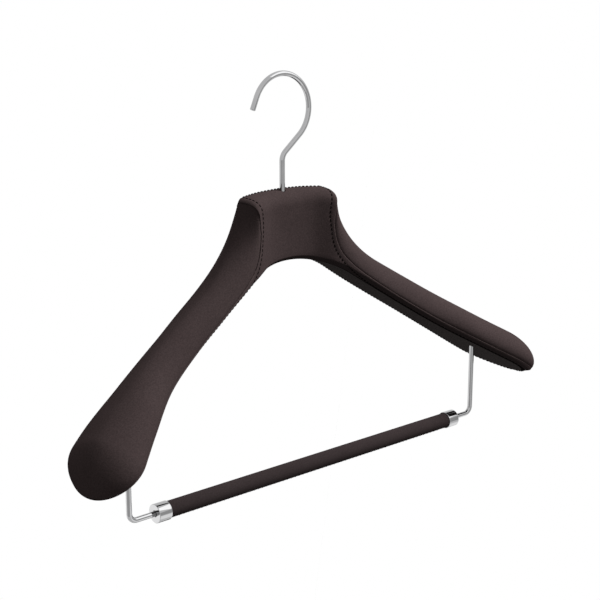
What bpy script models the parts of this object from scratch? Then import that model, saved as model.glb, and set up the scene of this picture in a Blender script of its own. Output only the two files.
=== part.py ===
"""Suit hanger with a contoured leather body, a swivel hook and a rolling trouser bar.

The origin is the hook's seat, the inside top of its bend, which rests on the rail.
X runs along the hanger, -Y is the front that the shoulders curve towards, +Z is up.
"""
from math import atan2, cos, exp, pi, radians, sin, sqrt, tan

import bmesh
import bpy
from mathutils import Vector

MM = 0.001

# Overall shape of the body
NECK_DOME_LENGTH = 38.5 * MM     # along the neck's top, middle to corner
NECK_DOME_ANGLE = radians(5)     # how far the neck's top turns down by its corner
NECK_CORNER_RADIUS = 4.5 * MM
NECK_SIDE_ANGLE = radians(70)    # slope of the neck's sides
NECK_SIDE_LENGTH = 11.5 * MM     # straight part of the neck's side
SWEEP_RADIUS = 100 * MM          # hollow curve from the neck's side to the arm
CREST_ANGLE = radians(31.5)      # slope of the arm's top line
CREST_RUN = 133 * MM             # straight part of the arm's top line
ARCH_DROP = 53.5 * MM            # neck top down to the arch
ARCH_RADIUS = 97 * MM
UNDERSIDE_ANGLE = radians(33.2)  # slope of the arm's underside

# Plan view: how far the front and back edges lie from the hook's axis.
# Each pair is a distance along X and a distance along Y.
FRONT_EDGE = (
    (0 * MM, -10 * MM),
    (20 * MM, -12 * MM),
    (40 * MM, -20.5 * MM),
    (75 * MM, -27 * MM),
    (105 * MM, -32.5 * MM),
    (136 * MM, -43 * MM),
    (165 * MM, -64 * MM),
    (190 * MM, -84 * MM),
)
BACK_EDGE = (
    (0 * MM, 8 * MM),
    (25 * MM, 11.5 * MM),
    (45 * MM, 15.5 * MM),
    (70 * MM, 16 * MM),
    (95 * MM, 12 * MM),
    (121 * MM, 5.5 * MM),
    (160 * MM, -2 * MM),
    (187 * MM, -7 * MM),
    (205 * MM, -13.5 * MM),
)
PLAN_TURN = radians(10)          # how far the sections turn outwards at the back
TIP_RUN = 26 * MM                # last section to the tip
TIP_LEAN = 0.69                  # run of the tip to the front per unit along X
TIP_ROUNDNESS = 1.95             # 2 is an ellipse in plan, more is squarer

# Sections of the body
FAN_NECK = 24 * MM               # underside point that belongs to the end of the neck's top
FAN_CORNER = 31 * MM             # underside point that belongs to the neck's corner
BAND_HEIGHT = 3.3 * MM           # bevelled band along the lower edges
BAND_INSET = 3.9 * MM
FOOT_RISE = 1.6 * MM             # foot of the crown above the band's upper edge, along the arms
FOOT_TOP = 0.78                  # share of the neck's height where its front starts to round
FOOT_FALL = 22 * MM              # along the neck's side, for that foot to drop to a third
CROWN_NECK = 2.3                 # roundness of the section at the neck, 2 is an ellipse
CROWN_CORNER = 0.8               # more than that where the front panel ends
CORNER_FADE = 8 * MM             # along the neck's side, for that to drop to a third
CROWN_NECK_BACK = 1.3            # the neck's back is nearly straight
CROWN_ARM = 1.75                 # roundness of the section along the arms
CROWN_ARM_BACK = 1.6             # the arms' backs are a little flatter
SEAM_LOW = 4.5 * MM              # seams above the underside, along the arms
SEAM_CORNER = 33 * MM            # front seam above the underside, at the neck's corner
SEAM_FALL = 17 * MM              # along the neck's side, for the front seam to drop to a third
SEAM_BEND = 0.9                  # 1 is an even decay, less falls faster at first
CREST_NECK = 0.13                # crest's place across the section: 0 is the back edge
CREST_CORNER = 0.45
CREST_MIDDLE = 0.65
CREST_TIP = 0.5

# Leather and core
LEATHER = 1.4 * MM
GAP = 0.3 * MM                   # between pieces that touch on the real hanger
CORE_DOWEL_DIAMETER = 3 * MM
CORE_DOWEL_LENGTH = 30 * MM
CORE_DOWEL_Y = -5.4 * MM
CORE_DOWEL_DROPS = (31 * MM, 39 * MM)   # below the neck's top

# Hook
HOOK_WIRE = 4.2 * MM
HOOK_RADIUS = 26.4 * MM          # to the wire's centre line
HOOK_RISE = 60.4 * MM            # neck top up to the bend's centre
HOOK_START = radians(157)        # where the lip leaves the bend
HOOK_END = radians(-50)          # where the bend runs into the slanted part
HOOK_LIP = 10 * MM
HOOK_STEM_BEND = 9 * MM          # radius of the bend above the neck
HOOK_HOLE_CLEARANCE = 0.5 * MM   # round the stem, in the leather
BUSH_WALL = 1.6 * MM
BUSH_LENGTH = 23 * MM
BUSH_COVER = 3.8 * MM            # neck top down to the bush
RUNNING_CLEARANCE = 0.3 * MM     # between a pin and its bore
WASHER_DIAMETER = 9.4 * MM
WASHER_THICKNESS = 1.2 * MM
NUT_WIDTH = 7 * MM               # across the flats
NUT_HEIGHT = 3.2 * MM
NUT_POCKET_DIAMETER = 10.6 * MM
STEM_PROTRUSION = 1.2 * MM       # stem below the nut
POCKET_FLOOR = 2.4 * MM          # stem's end up from the underside leather

# Bracket wires and trouser bar
WIRE_DIAMETER = 4 * MM
WIRE_STANDOFF = 21 * MM          # wire's axis past the bar's end
WIRE_BEND = 6 * MM
WIRE_GRIP = 13 * MM              # wire inside its insert
INSERT_DIAMETER = 8.4 * MM
INSERT_LENGTH = 15 * MM
BAR_Y = -41.3 * MM
BAR_DROP = 206.1 * MM            # neck top down to the bar's axis
BAR_LENGTH = 305 * MM            # over both ferrules
BAR_DIAMETER = 12.2 * MM
COVER_THICKNESS = 1.1 * MM
TUBE_WALL = 1 * MM
FERRULE_LENGTH = 10.6 * MM
FERRULE_DIAMETER = 13.8 * MM
FERRULE_WALL = 0.5 * MM
FERRULE_END = 1 * MM
FERRULE_CHAMFER = 0.5 * MM
BUSHING_FLANGE = 4 * MM          # thickness of the bushing's head inside the ferrule
BUSHING_SHANK = 9 * MM
WIRE_REACH = 10 * MM             # wire's end inside the ferrule, from its end face

# Fineness
DOME_STEPS = 4
CORNER_STEPS = 3
SIDE_STEPS = 2
SWEEP_STEPS = 6
ARM_STEPS = 8
TIP_STEPS = 7                    # over a quarter turn
CROWN_STEPS = 6
WIRE_SIDES = 14
ROUND_SIDES = 32
NUT_SIDES = 24                   # a multiple of the nut's six flats
ARC_STEP = radians(9)
EDGE_PASSES = 4                  # to settle where a turned section meets the edges
MARKER_SIZE = 20 * MM            # joint axes as drawn

NECK_TOP = -(HOOK_RISE + HOOK_RADIUS - HOOK_WIRE / 2)

for old in list(bpy.data.objects):
    bpy.data.objects.remove(old, do_unlink=True)


def material(name, colour, roughness, metallic=0.0):
    """Principled material with one colour."""
    made = bpy.data.materials.new(name)
    made.use_nodes = True
    shader = made.node_tree.nodes["Principled BSDF"]
    shader.inputs["Base Color"].default_value = (*colour, 1.0)
    shader.inputs["Roughness"].default_value = roughness
    shader.inputs["Metallic"].default_value = metallic
    made.diffuse_color = (*colour, 1.0)
    return made


DARK_LEATHER = material("dark_leather", (0.045, 0.034, 0.033), 0.5)
CHROME = material("chrome", (0.75, 0.75, 0.76), 0.18, 1.0)
BRASS = material("brass", (0.78, 0.6, 0.3), 0.3, 1.0)
STEEL = material("steel", (0.55, 0.55, 0.56), 0.35, 1.0)
BEECH = material("beech", (0.62, 0.44, 0.27), 0.6)
ALUMINIUM = material("aluminium", (0.7, 0.71, 0.72), 0.4, 1.0)
NYLON = material("nylon", (0.85, 0.84, 0.8), 0.45)


def keep(name, bm, finish, smooth_angle=radians(35)):
    """Turn a bmesh into a named object with its faces pointing out."""
    bmesh.ops.recalc_face_normals(bm, faces=bm.faces)
    mesh = bpy.data.meshes.new(name)
    bm.to_mesh(mesh)
    bm.free()
    mesh.materials.append(finish)
    mesh.shade_smooth()
    mesh.set_sharp_from_angle(angle=smooth_angle)
    made = bpy.data.objects.new(name, mesh)
    bpy.context.collection.objects.link(made)
    return made


def cut(target, cutter, solver="EXACT"):
    """Take the cutter's volume out of the target."""
    cutter.hide_render = True
    cutter.display_type = "WIRE"
    step = target.modifiers.new(cutter.name, "BOOLEAN")
    step.operation = "DIFFERENCE"
    step.solver = solver
    step.object = cutter


def under(parent, child):
    """Parent a piece and leave it where it is."""
    child.parent = parent
    child.matrix_parent_inverse = parent.matrix_world.inverted()


# Lines of the front view

def walk(pieces, distance):
    """Point on a path of lines and arcs that starts at the origin, heading along +X.

    A piece is (length, turn): the path turns down by that angle over that length.
    """
    x, z, heading = 0.0, 0.0, 0.0
    for length, turn in pieces:
        part = min(distance, length)
        turned = turn * part / length
        if abs(turned) > 1e-9:
            radius = length / turn
            x += radius * (sin(heading + turned) - sin(heading))
            z -= radius * (cos(heading) - cos(heading + turned))
        else:
            x += part * cos(heading)
            z -= part * sin(heading)
        heading += turned
        distance -= part
        if distance <= 0:
            break
    return Vector((x, z))


CORNER_LENGTH = NECK_CORNER_RADIUS * (NECK_SIDE_ANGLE - NECK_DOME_ANGLE)
SWEEP_LENGTH = SWEEP_RADIUS * (NECK_SIDE_ANGLE - CREST_ANGLE)
CREST = (
    (NECK_DOME_LENGTH, NECK_DOME_ANGLE),
    (CORNER_LENGTH, NECK_SIDE_ANGLE - NECK_DOME_ANGLE),
    (NECK_SIDE_LENGTH, 0.0),
    (SWEEP_LENGTH, CREST_ANGLE - NECK_SIDE_ANGLE),
    (CREST_RUN, 0.0),
)
CORNER_END = NECK_DOME_LENGTH + CORNER_LENGTH
SIDE_END = CORNER_END + NECK_SIDE_LENGTH
SWEEP_END = SIDE_END + SWEEP_LENGTH
CREST_END = SWEEP_END + CREST_RUN
ARCH_RUN = ARCH_RADIUS * sin(UNDERSIDE_ANGLE)


def underside_z(x):
    """Height of the underside: an arch that runs out into straight arms."""
    if x < ARCH_RUN:
        return -ARCH_DROP - ARCH_RADIUS + sqrt(ARCH_RADIUS ** 2 - x * x)
    arch_end = -ARCH_DROP - ARCH_RADIUS * (1 - cos(UNDERSIDE_ANGLE))
    return arch_end - (x - ARCH_RUN) * tan(UNDERSIDE_ANGLE)


def underside_slope(x):
    """Fall of the underside per unit along X."""
    return min(x / sqrt(ARCH_RADIUS ** 2 - min(x, ARCH_RUN) ** 2), tan(UNDERSIDE_ANGLE))


def foot_x(point):
    """Where a square line from the arm's top line meets the underside."""
    drop = point.y - underside_z(point.x)
    return point.x - drop * cos(UNDERSIDE_ANGLE) * sin(UNDERSIDE_ANGLE)


def share(value, start, end):
    """How far a value lies from start to end, from 0 to 1."""
    return min(max((value - start) / (end - start), 0.0), 1.0)


def mix(a, b, part):
    """Value between two others."""
    return a + (b - a) * part


def ease(part):
    """Share from 0 to 1 with level ends."""
    return part * part * (3 - 2 * part)


def smooth_line(points, x):
    """Height of a smooth line through a few points."""
    last = len(points) - 2
    index = max(i for i in range(last + 1) if i == 0 or points[i][0] <= x)
    x0, y0 = points[index]
    x1, y1 = points[index + 1]

    def slope(i):
        before = points[max(i - 1, 0)]
        after = points[min(i + 1, last + 1)]
        return (after[1] - before[1]) / (after[0] - before[0])

    start = 0.0 if index == 0 else slope(index)
    width = x1 - x0
    t = (x - x0) / width
    return (
        y0 * (1 + 2 * t) * (1 - t) ** 2
        + width * start * t * (1 - t) ** 2
        + y1 * t * t * (3 - 2 * t)
        - width * slope(index + 1) * t * t * (1 - t)
    )


# Sections of the body

CROWN_FRONT = ["foot_front"] + [f"crown_front_{i}" for i in range(1, CROWN_STEPS)]
CROWN_BACK = [f"crown_back_{i}" for i in range(CROWN_STEPS - 1, 0, -1)] + ["foot_back"]
LINES = ["band_front", "knee_front", "seam_front"] + CROWN_FRONT + ["crest"]
LINES += CROWN_BACK + ["seam_back", "knee_back", "band_back"]
SPLITS = {
    "band_front": ("under_front", "low_front"),
    "seam_front": ("edge_front", "side_front"),
    "crest": ("top_front", "top_back"),
    "seam_back": ("side_back", "edge_back"),
    "band_back": ("low_back", "under_back"),
}


class Station:
    """One section of the body, in the plane of Y and the line from underside to crest."""

    def __init__(self, distance):
        crest = walk(CREST, distance)
        if distance < NECK_DOME_LENGTH:
            x = FAN_NECK * distance / NECK_DOME_LENGTH
        elif distance < CORNER_END:
            x = mix(FAN_NECK, FAN_CORNER, share(distance, NECK_DOME_LENGTH, CORNER_END))
        elif distance < SWEEP_END:
            x = mix(FAN_CORNER, foot_x(walk(CREST, SWEEP_END)), share(distance, CORNER_END, SWEEP_END))
        else:
            x = foot_x(crest)
        self.distance = distance
        self.base = Vector((x, underside_z(x)))
        self.height = (crest - self.base).length
        self.up = (crest - self.base).normalized()
        self.turn = tan(PLAN_TURN) * share(distance, 0, NECK_DOME_LENGTH)
        self.low_slope = underside_slope(x)
        self.high_slope = tan(CREST_ANGLE) * self.along_sweep()
        self.front, self.back = self.edges(x)
        self.middle = (self.front + self.back) / 2
        self.half_depth = (self.back - self.front) / 2

    def edges(self, x):
        """Front and back edges of the body where this section's plane meets them."""
        front, back = smooth_line(FRONT_EDGE, x), smooth_line(BACK_EDGE, x)
        for _ in range(EDGE_PASSES):
            reach = self.turn * (back - front) / 2
            front = smooth_line(FRONT_EDGE, x - reach)
            back = smooth_line(BACK_EDGE, x + reach)
        return front, back

    def along_sweep(self):
        """Share of the way from the neck's corner to the arm, with level ends."""
        return ease(share(self.distance, CORNER_END, SWEEP_END))

    def foot_height(self):
        """Height over the underside where the front starts to round."""
        low = BAND_HEIGHT + FOOT_RISE
        past_corner = max(self.distance - CORNER_END, 0)
        return low + (FOOT_TOP * self.height - low) * exp(-past_corner / FOOT_FALL)

    def seam_height(self):
        """Height of the front seam over the underside."""
        past_corner = max(self.distance - CORNER_END, 0)
        return mix(SEAM_LOW, SEAM_CORNER, exp(-(past_corner / SEAM_FALL) ** SEAM_BEND))

    def crown_front(self):
        """Roundness of the front of the crown."""
        past_corner = max(self.distance - CORNER_END, 0)
        squarer = CROWN_CORNER * share(self.distance, 0, CORNER_END) * exp(-past_corner / CORNER_FADE)
        return mix(CROWN_NECK, CROWN_ARM, self.along_sweep()) + squarer

    def crown_back(self):
        """Roundness of the back of the crown."""
        return mix(CROWN_NECK_BACK, CROWN_ARM_BACK, self.along_sweep())

    def crest_place(self):
        """Place of the crest across the section, from back to front."""
        fall = ease(share(self.distance, SWEEP_END, CREST_END))
        neck = mix(CREST_NECK, CREST_CORNER, share(self.distance, 0, CORNER_END))
        return mix(mix(neck, CREST_MIDDLE, self.along_sweep()), CREST_TIP, fall)

    def outline(self, depth):
        """Corner points (y, height) by line name, front to back, at a depth under the outer face."""
        front = self.front + depth
        back = self.back - depth
        top = self.height - depth
        foot = self.foot_height()
        low_foot = BAND_HEIGHT + FOOT_RISE
        crest_y = mix(back, front, self.crest_place())
        bevel = atan2(BAND_HEIGHT, BAND_INSET)
        inset = BAND_INSET + depth * tan(bevel / 2)
        knee = (depth + (BAND_INSET - depth) * sin(bevel)) / cos(bevel)
        points = {
            "band_front": Vector((self.front + inset, depth)),
            "knee_front": Vector((front, knee)),
            "seam_front": Vector((front, self.seam_height())),
            "foot_front": Vector((front, foot)),
            "crest": Vector((crest_y, top)),
            "foot_back": Vector((back, low_foot)),
            "seam_back": Vector((back, SEAM_LOW)),
            "knee_back": Vector((back, knee)),
            "band_back": Vector((self.back - inset, depth)),
        }
        for i in range(1, CROWN_STEPS):
            turn = pi / 2 * i / CROWN_STEPS
            for name, edge, low, power in (
                ("front", front, foot, 2 / self.crown_front()),
                ("back", back, low_foot, 2 / self.crown_back()),
            ):
                out = mix(crest_y, edge, cos(turn) ** power)
                points[f"crown_{name}_{i}"] = Vector((out, mix(low, top, sin(turn) ** power)))
        return {name: points[name] for name in LINES}


def split_outline(points):
    """The outline with each seam line doubled, half a gap to either side."""
    names = list(points)
    split = {}
    for i, name in enumerate(names):
        if name not in SPLITS:
            split[name] = points[name]
            continue
        here = points[name]
        before = points[names[i - 1]]
        after = points[names[(i + 1) % len(names)]]
        split[SPLITS[name][0]] = here + (before - here).normalized() * GAP / 2
        split[SPLITS[name][1]] = here + (after - here).normalized() * GAP / 2
    return split


def spread(start, end, steps):
    """Evenly spaced values from start up to, but not including, end."""
    return [mix(start, end, i / steps) for i in range(steps)]


STATIONS = [Station(d) for d in (
    spread(0, NECK_DOME_LENGTH, DOME_STEPS)
    + spread(NECK_DOME_LENGTH, CORNER_END, CORNER_STEPS)
    + [CORNER_END - GAP / 2, CORNER_END + GAP / 2]
    + spread(CORNER_END, SIDE_END, SIDE_STEPS)[1:]
    + spread(SIDE_END, SWEEP_END, SWEEP_STEPS)
    + spread(SWEEP_END, CREST_END, ARM_STEPS)
    + [CREST_END]
)]
LAST = len(STATIONS) - 1
SEAM_INNER = DOME_STEPS + CORNER_STEPS      # station on the neck's side of the seam
SEAM_OUTER = SEAM_INNER + 1
TIP_ANGLES = [-pi / 2 * (1 - i / TIP_STEPS) for i in range(TIP_STEPS)]


class Layer:
    """Points of one skin of the body, at a depth under the leather's outer face."""

    def __init__(self, depth, split):
        self.depth = depth
        self.sections = []
        for station in STATIONS:
            outline = station.outline(depth)
            self.sections.append(split_outline(outline) if split else outline)

    def place(self, station, y, height, side):
        """World point for a place in a section, between the body's edges at its own height."""
        flat = station.base + station.up * height
        across = (y - station.front) / (station.back - station.front)
        reach = station.half_depth * station.turn
        shift = mix(-reach, reach, across)
        front = smooth_line(FRONT_EDGE, flat.x - reach)
        back = smooth_line(BACK_EDGE, flat.x + reach)
        drop = shift * mix(station.low_slope, station.high_slope, height / station.height)
        return Vector((side * (flat.x + shift), mix(front, back, across), NECK_TOP + flat.y - drop))

    def at(self, side, index, line):
        """Point on a line of the section at a station."""
        station = STATIONS[index]
        section = self.sections[index]
        if line == "under_middle":
            return self.place(station, station.middle, self.depth, side)
        y, height = section[line]
        return self.place(station, y, height, side)

    def tip(self, side, angle, line):
        """Point on the rounded end: the section's front half turned round to the back."""
        station = STATIONS[LAST]
        if line == "under_middle":
            return self.place(station, station.middle, self.depth, side)
        y, height = self.sections[LAST][line]
        reach = station.middle - y
        half = station.half_depth
        out = cos(angle) ** (2 / TIP_ROUNDNESS)
        across = abs(sin(angle)) ** (2 / TIP_ROUNDNESS)
        across = across if angle > 0 else -across
        run = out * (TIP_RUN - self.depth) * reach / (half - self.depth)
        point = self.place(station, station.middle + across * reach, height, side)
        return point + Vector((side * run, -TIP_LEAN * run, -tan(UNDERSIDE_ANGLE) * run))


FRONT_BAND = ["low_front", "knee_front", "edge_front"]
SHOULDER_FRONT = ["side_front"] + CROWN_FRONT + ["top_front"]
SHOULDER_BACK = ["top_back"] + CROWN_BACK + ["side_back"]
BACK_BAND = ["edge_back", "knee_back", "low_back"]
UNDERSIDE = ["under_back", "under_middle", "under_front"]
OPPOSITE = {
    "low_front": "low_back",
    "knee_front": "knee_back",
    "edge_front": "edge_back",
    "side_front": "side_back",
    "top_front": "top_back",
    "under_front": "under_back",
    "band_front": "band_back",
    "seam_front": "seam_back",
    "foot_front": "foot_back",
    "crest": "crest",
    "under_middle": "under_middle",
}
OPPOSITE.update({f"crown_front_{i}": f"crown_back_{i}" for i in range(1, CROWN_STEPS)})


def strip_cells(lines, first, last, side):
    """Cells between neighbouring lines and stations on one side of the hanger."""
    cells = []
    for i in range(first, last):
        for low, high in zip(lines, lines[1:]):
            cell = [(side, i, low), (side, i + 1, low), (side, i + 1, high), (side, i, high)]
            cells.append(cell if side > 0 else cell[::-1])
    return cells


def tip_key(side, angle, line):
    """Name of a point on the rounded end, shared with the last section where they meet."""
    if line == "under_middle":
        return (side, LAST, line)
    if angle <= -pi / 2:
        return (side, LAST, line)
    if angle >= pi / 2:
        return (side, LAST, OPPOSITE[line])
    return (side, ("tip", angle), line)


def tip_cells(lines, angles, side, pole=None):
    """Cells of the rounded end, from the front half section round to the back one."""
    cells = []
    for start, end in zip(angles, angles[1:]):
        for low, high in zip(lines, lines[1:]):
            a = tip_key(side, start, low)
            b = tip_key(side, end, low)
            c = pole if high == lines[-1] and pole else tip_key(side, end, high)
            d = pole if high == lines[-1] and pole else tip_key(side, start, high)
            cell = [a, b, c, d]
            cells.append(cell if side > 0 else cell[::-1])
    return cells


def mirrored_key(key):
    """Points in the middle section are shared by both sides."""
    side, index, line = key
    return (1, index, line) if index == 0 else key


def triangles(cell):
    """Split a cell along the same diagonal in every layer."""
    a, b, c, d = cell
    return [t for t in ((a, b, c), (a, c, d)) if len(set(t)) == 3]


def locate(layer, key):
    """World point of a key in a layer."""
    side, index, line = key
    if isinstance(index, tuple):
        return layer.tip(side, index[1], line)
    return layer.at(side, index, line)


def shell(name, cells, outer, inner, finish):
    """Closed solid between two layers of the same cells."""
    bm = bmesh.new()
    made = {}

    def vert(layer, key):
        if (layer, key) not in made:
            made[layer, key] = bm.verts.new(locate(layer, key))
        return made[layer, key]

    faces = [t for cell in cells for t in triangles([mirrored_key(key) for key in cell])]
    edges = {(t[i], t[(i + 1) % 3]) for t in faces for i in range(3)}
    for t in faces:
        bm.faces.new([vert(outer, key) for key in t])
        bm.faces.new([vert(inner, key) for key in reversed(t)])
    for a, b in sorted(edges, key=str):
        if (b, a) not in edges:
            bm.faces.new([vert(outer, b), vert(outer, a), vert(inner, a), vert(inner, b)])
    return keep(name, bm, finish)


# Leather panels

OUTER = Layer(0, split=True)
INNER = Layer(LEATHER, split=True)
BOTH_SIDES = (-1, 1)
FRONT_ANGLES = TIP_ANGLES + [-GAP / 2 / STATIONS[LAST].half_depth]
BACK_ANGLES = [-angle for angle in reversed(FRONT_ANGLES)]
ALL_ANGLES = TIP_ANGLES + [0.0] + [-angle for angle in reversed(TIP_ANGLES)]


def front_panel():
    """Front and top of the neck in one piece, run out along both arms as a band."""
    cells = []
    for side in BOTH_SIDES:
        cells += strip_cells(FRONT_BAND + SHOULDER_FRONT, 0, SEAM_INNER, side)
        cells += strip_cells(FRONT_BAND, SEAM_INNER, LAST, side)
        cells += tip_cells(FRONT_BAND, FRONT_ANGLES, side)
    return shell("front_panel", cells, OUTER, INNER, DARK_LEATHER)


def back_panel():
    """Back of the neck, run out along both arms as a band."""
    cells = []
    for side in BOTH_SIDES:
        cells += strip_cells(SHOULDER_BACK + BACK_BAND, 0, SEAM_INNER, side)
        cells += strip_cells(BACK_BAND, SEAM_INNER, LAST, side)
        cells += tip_cells(FRONT_BAND, BACK_ANGLES, side)
    return shell("back_panel", cells, OUTER, INNER, DARK_LEATHER)


def shoulder_panel(side, name):
    """Leather over one arm's crown, closed round the tip."""
    pole = (side, LAST, "top_front")
    cells = strip_cells(SHOULDER_FRONT + SHOULDER_BACK, SEAM_OUTER, LAST, side)
    cells += tip_cells(SHOULDER_FRONT, ALL_ANGLES, side, pole)
    cells = [[pole if key == (side, LAST, "top_back") else key for key in cell] for cell in cells]
    return shell(name, cells, OUTER, INNER, DARK_LEATHER)


def underside_panel():
    """Strip under both arms and through the arch, with rounded ends."""
    cells = []
    for side in BOTH_SIDES:
        cells += strip_cells(UNDERSIDE, 0, LAST, side)
        cells += tip_cells(["under_middle", "under_front"], ALL_ANGLES, side)
    return shell("underside_panel", cells, OUTER, INNER, DARK_LEATHER)


# Wooden core

CORE = Layer(LEATHER + GAP, split=False)
CORE_HALF = ["band_front", "knee_front", "seam_front"] + CROWN_FRONT + ["crest"]


def core_half(side, name):
    """One arm of the core, from the joint in the middle to the tip."""
    cells = strip_cells(LINES + ["under_middle", "band_front"], 0, LAST, side)
    cells += tip_cells(["under_middle"] + CORE_HALF, ALL_ANGLES, side, (side, LAST, "crest"))
    bm = bmesh.new()
    made = {}

    def vert(key):
        if key not in made:
            joint = side * GAP / 2 if key[1] == 0 else 0
            made[key] = bm.verts.new(locate(CORE, key) + Vector((joint, 0, 0)))
        return made[key]

    for cell in cells:
        for t in triangles(cell):
            bm.faces.new([vert(key) for key in t])
    for low, high in zip(LINES, LINES[1:]):
        bm.faces.new([vert((side, 0, line)) for line in ("under_middle", low, high)])
    return keep(name, bm, BEECH)


# Turned and bent pieces

def turned(name, profile, finish, sides=ROUND_SIDES):
    """Solid of revolution about Z from a closed outline of (radius, height)."""
    bm = bmesh.new()
    rings = []
    for radius, height in profile:
        if radius == 0:
            rings.append([bm.verts.new((0, 0, height))] * sides)
            continue
        turns = [2 * pi * i / sides for i in range(sides)]
        rings.append([bm.verts.new((radius * cos(t), radius * sin(t), height)) for t in turns])
    for ring, following in zip(rings, rings[1:] + rings[:1]):
        for i in range(sides):
            j = (i + 1) % sides
            corners = list(dict.fromkeys([ring[i], ring[j], following[j], following[i]]))
            if len(corners) > 2:
                bm.faces.new(corners)
    return keep(name, bm, finish)


def rod_profile(radius, low, high, chamfer=0.0):
    """Outline of a plain rod, with its ends chamfered if asked."""
    if chamfer == 0:
        return [(0, low), (radius, low), (radius, high), (0, high)]
    return [
        (0, low),
        (radius - chamfer, low),
        (radius, low + chamfer),
        (radius, high - chamfer),
        (radius - chamfer, high),
        (0, high),
    ]


def sleeve_profile(inner, outer, low, high):
    """Outline of a plain sleeve."""
    return [(inner, low), (outer, low), (outer, high), (inner, high)]


def cutter(name, radius, low, high):
    """Round cutter about Z."""
    return turned(name, rod_profile(radius, low, high), STEEL)


def bent_wire(name, points, diameter, finish):
    """Round wire along a line of points."""
    curve = bpy.data.curves.new(name, "CURVE")
    curve.dimensions = "3D"
    curve.bevel_depth = diameter / 2
    curve.bevel_resolution = (WIRE_SIDES - 4) // 2
    curve.use_fill_caps = True
    spline = curve.splines.new("POLY")
    spline.points.add(len(points) - 1)
    for spot, point in zip(spline.points, points):
        spot.co = (*point, 1.0)
    curve.materials.append(finish)
    made = bpy.data.objects.new(name, curve)
    bpy.context.collection.objects.link(made)
    return made


def arc(centre, radius, start, end):
    """Points along an arc in the XZ plane, both ends included."""
    steps = max(2, round(abs(end - start) / ARC_STEP))
    turns = [mix(start, end, i / steps) for i in range(steps + 1)]
    return [centre + Vector((radius * cos(t), 0, radius * sin(t))) for t in turns]


# Hook and what holds it in the neck

POCKET_TOP = NECK_TOP - ARCH_DROP + LEATHER + GAP + POCKET_FLOOR + STEM_PROTRUSION + NUT_HEIGHT
POCKET_TOP += 2 * GAP + WASHER_THICKNESS
STEM_END = NECK_TOP - ARCH_DROP + LEATHER + GAP + POCKET_FLOOR


def hook_points():
    """Centre line of the hook, from the stem's lower end to the lip."""
    centre = Vector((0, 0, NECK_TOP + HOOK_RISE))
    slant_start = centre + Vector((HOOK_RADIUS * cos(HOOK_END), 0, HOOK_RADIUS * sin(HOOK_END)))
    slant = Vector((sin(HOOK_END), 0, -cos(HOOK_END)))
    meet = slant_start.z + slant.z * slant_start.x / -slant.x
    turn = pi / 2 + HOOK_END
    bend_drop = HOOK_STEM_BEND * tan((pi / 2 - turn) / 2)
    bend_centre = Vector((HOOK_STEM_BEND, 0, meet - bend_drop))
    lip_start = centre + Vector((HOOK_RADIUS * cos(HOOK_START), 0, HOOK_RADIUS * sin(HOOK_START)))
    lip = lip_start + Vector((-sin(HOOK_START), 0, cos(HOOK_START))) * HOOK_LIP
    points = [Vector((0, 0, STEM_END))]
    points += arc(bend_centre, HOOK_STEM_BEND, pi, pi / 2 + turn)
    points += arc(centre, HOOK_RADIUS, HOOK_END, HOOK_START)
    points.append(lip)
    return points


def hook():
    """Swivel hook, the piece that everything hangs from."""
    return bent_wire("hook", hook_points(), HOOK_WIRE, CHROME)


def hook_bush():
    """Sleeve in the neck that the stem turns in."""
    inner = HOOK_WIRE / 2 + RUNNING_CLEARANCE
    top = NECK_TOP - BUSH_COVER
    profile = sleeve_profile(inner, inner + BUSH_WALL, top - BUSH_LENGTH, top)
    return turned("hook_bush", profile, BRASS)


def hook_washer():
    """Washer that carries the body on the nut."""
    inner = HOOK_WIRE / 2 + RUNNING_CLEARANCE
    high = POCKET_TOP - GAP
    profile = sleeve_profile(inner, WASHER_DIAMETER / 2, high - WASHER_THICKNESS, high)
    return turned("hook_washer", profile, STEEL)


def hook_nut():
    """Hexagonal nut on the stem, under the washer."""
    inner = HOOK_WIRE / 2 + GAP
    outer = NUT_WIDTH / 2 / cos(pi / 6)
    low = STEM_END + STEM_PROTRUSION
    bm = bmesh.new()
    rings = []
    for radius, height in sleeve_profile(inner, outer, low, low + NUT_HEIGHT):
        turns = [2 * pi * i / NUT_SIDES for i in range(NUT_SIDES)]
        flat = [1.0] * NUT_SIDES
        if radius == outer:
            flat = [cos(pi / 6) / cos((t + pi / 6) % (pi / 3) - pi / 6) for t in turns]
        rings.append([
            bm.verts.new((radius * f * cos(t), radius * f * sin(t), height)) for t, f in zip(turns, flat)])
    for ring, following in zip(rings, rings[1:] + rings[:1]):
        for i in range(NUT_SIDES):
            j = (i + 1) % NUT_SIDES
            bm.faces.new([ring[i], ring[j], following[j], following[i]])
    return keep("hook_nut", bm, STEEL)


# Brackets and trouser bar

BAR_Z = NECK_TOP - BAR_DROP
WIRE_X = BAR_LENGTH / 2 + WIRE_STANDOFF


def core_floor(x):
    """Height of the core's underside at a distance from the middle."""
    return NECK_TOP + underside_z(x) + (LEATHER + GAP) / cos(UNDERSIDE_ANGLE)


INSERT_LOW = core_floor(WIRE_X) + tan(UNDERSIDE_ANGLE) * (INSERT_DIAMETER / 2 + GAP)


def bracket_wire(side, name):
    """Wire from an arm down to the bar's end, square bent."""
    corner = Vector((side * (WIRE_X - WIRE_BEND), BAR_Y, BAR_Z + WIRE_BEND))
    bend = arc(corner, WIRE_BEND, 0, -pi / 2) if side > 0 else arc(corner, WIRE_BEND, pi, 3 * pi / 2)
    top = Vector((side * WIRE_X, BAR_Y, INSERT_LOW + WIRE_GRIP))
    end = Vector((side * (BAR_LENGTH / 2 - WIRE_REACH), BAR_Y, BAR_Z))
    return bent_wire(name, [top] + bend + [end], WIRE_DIAMETER, CHROME)


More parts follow.
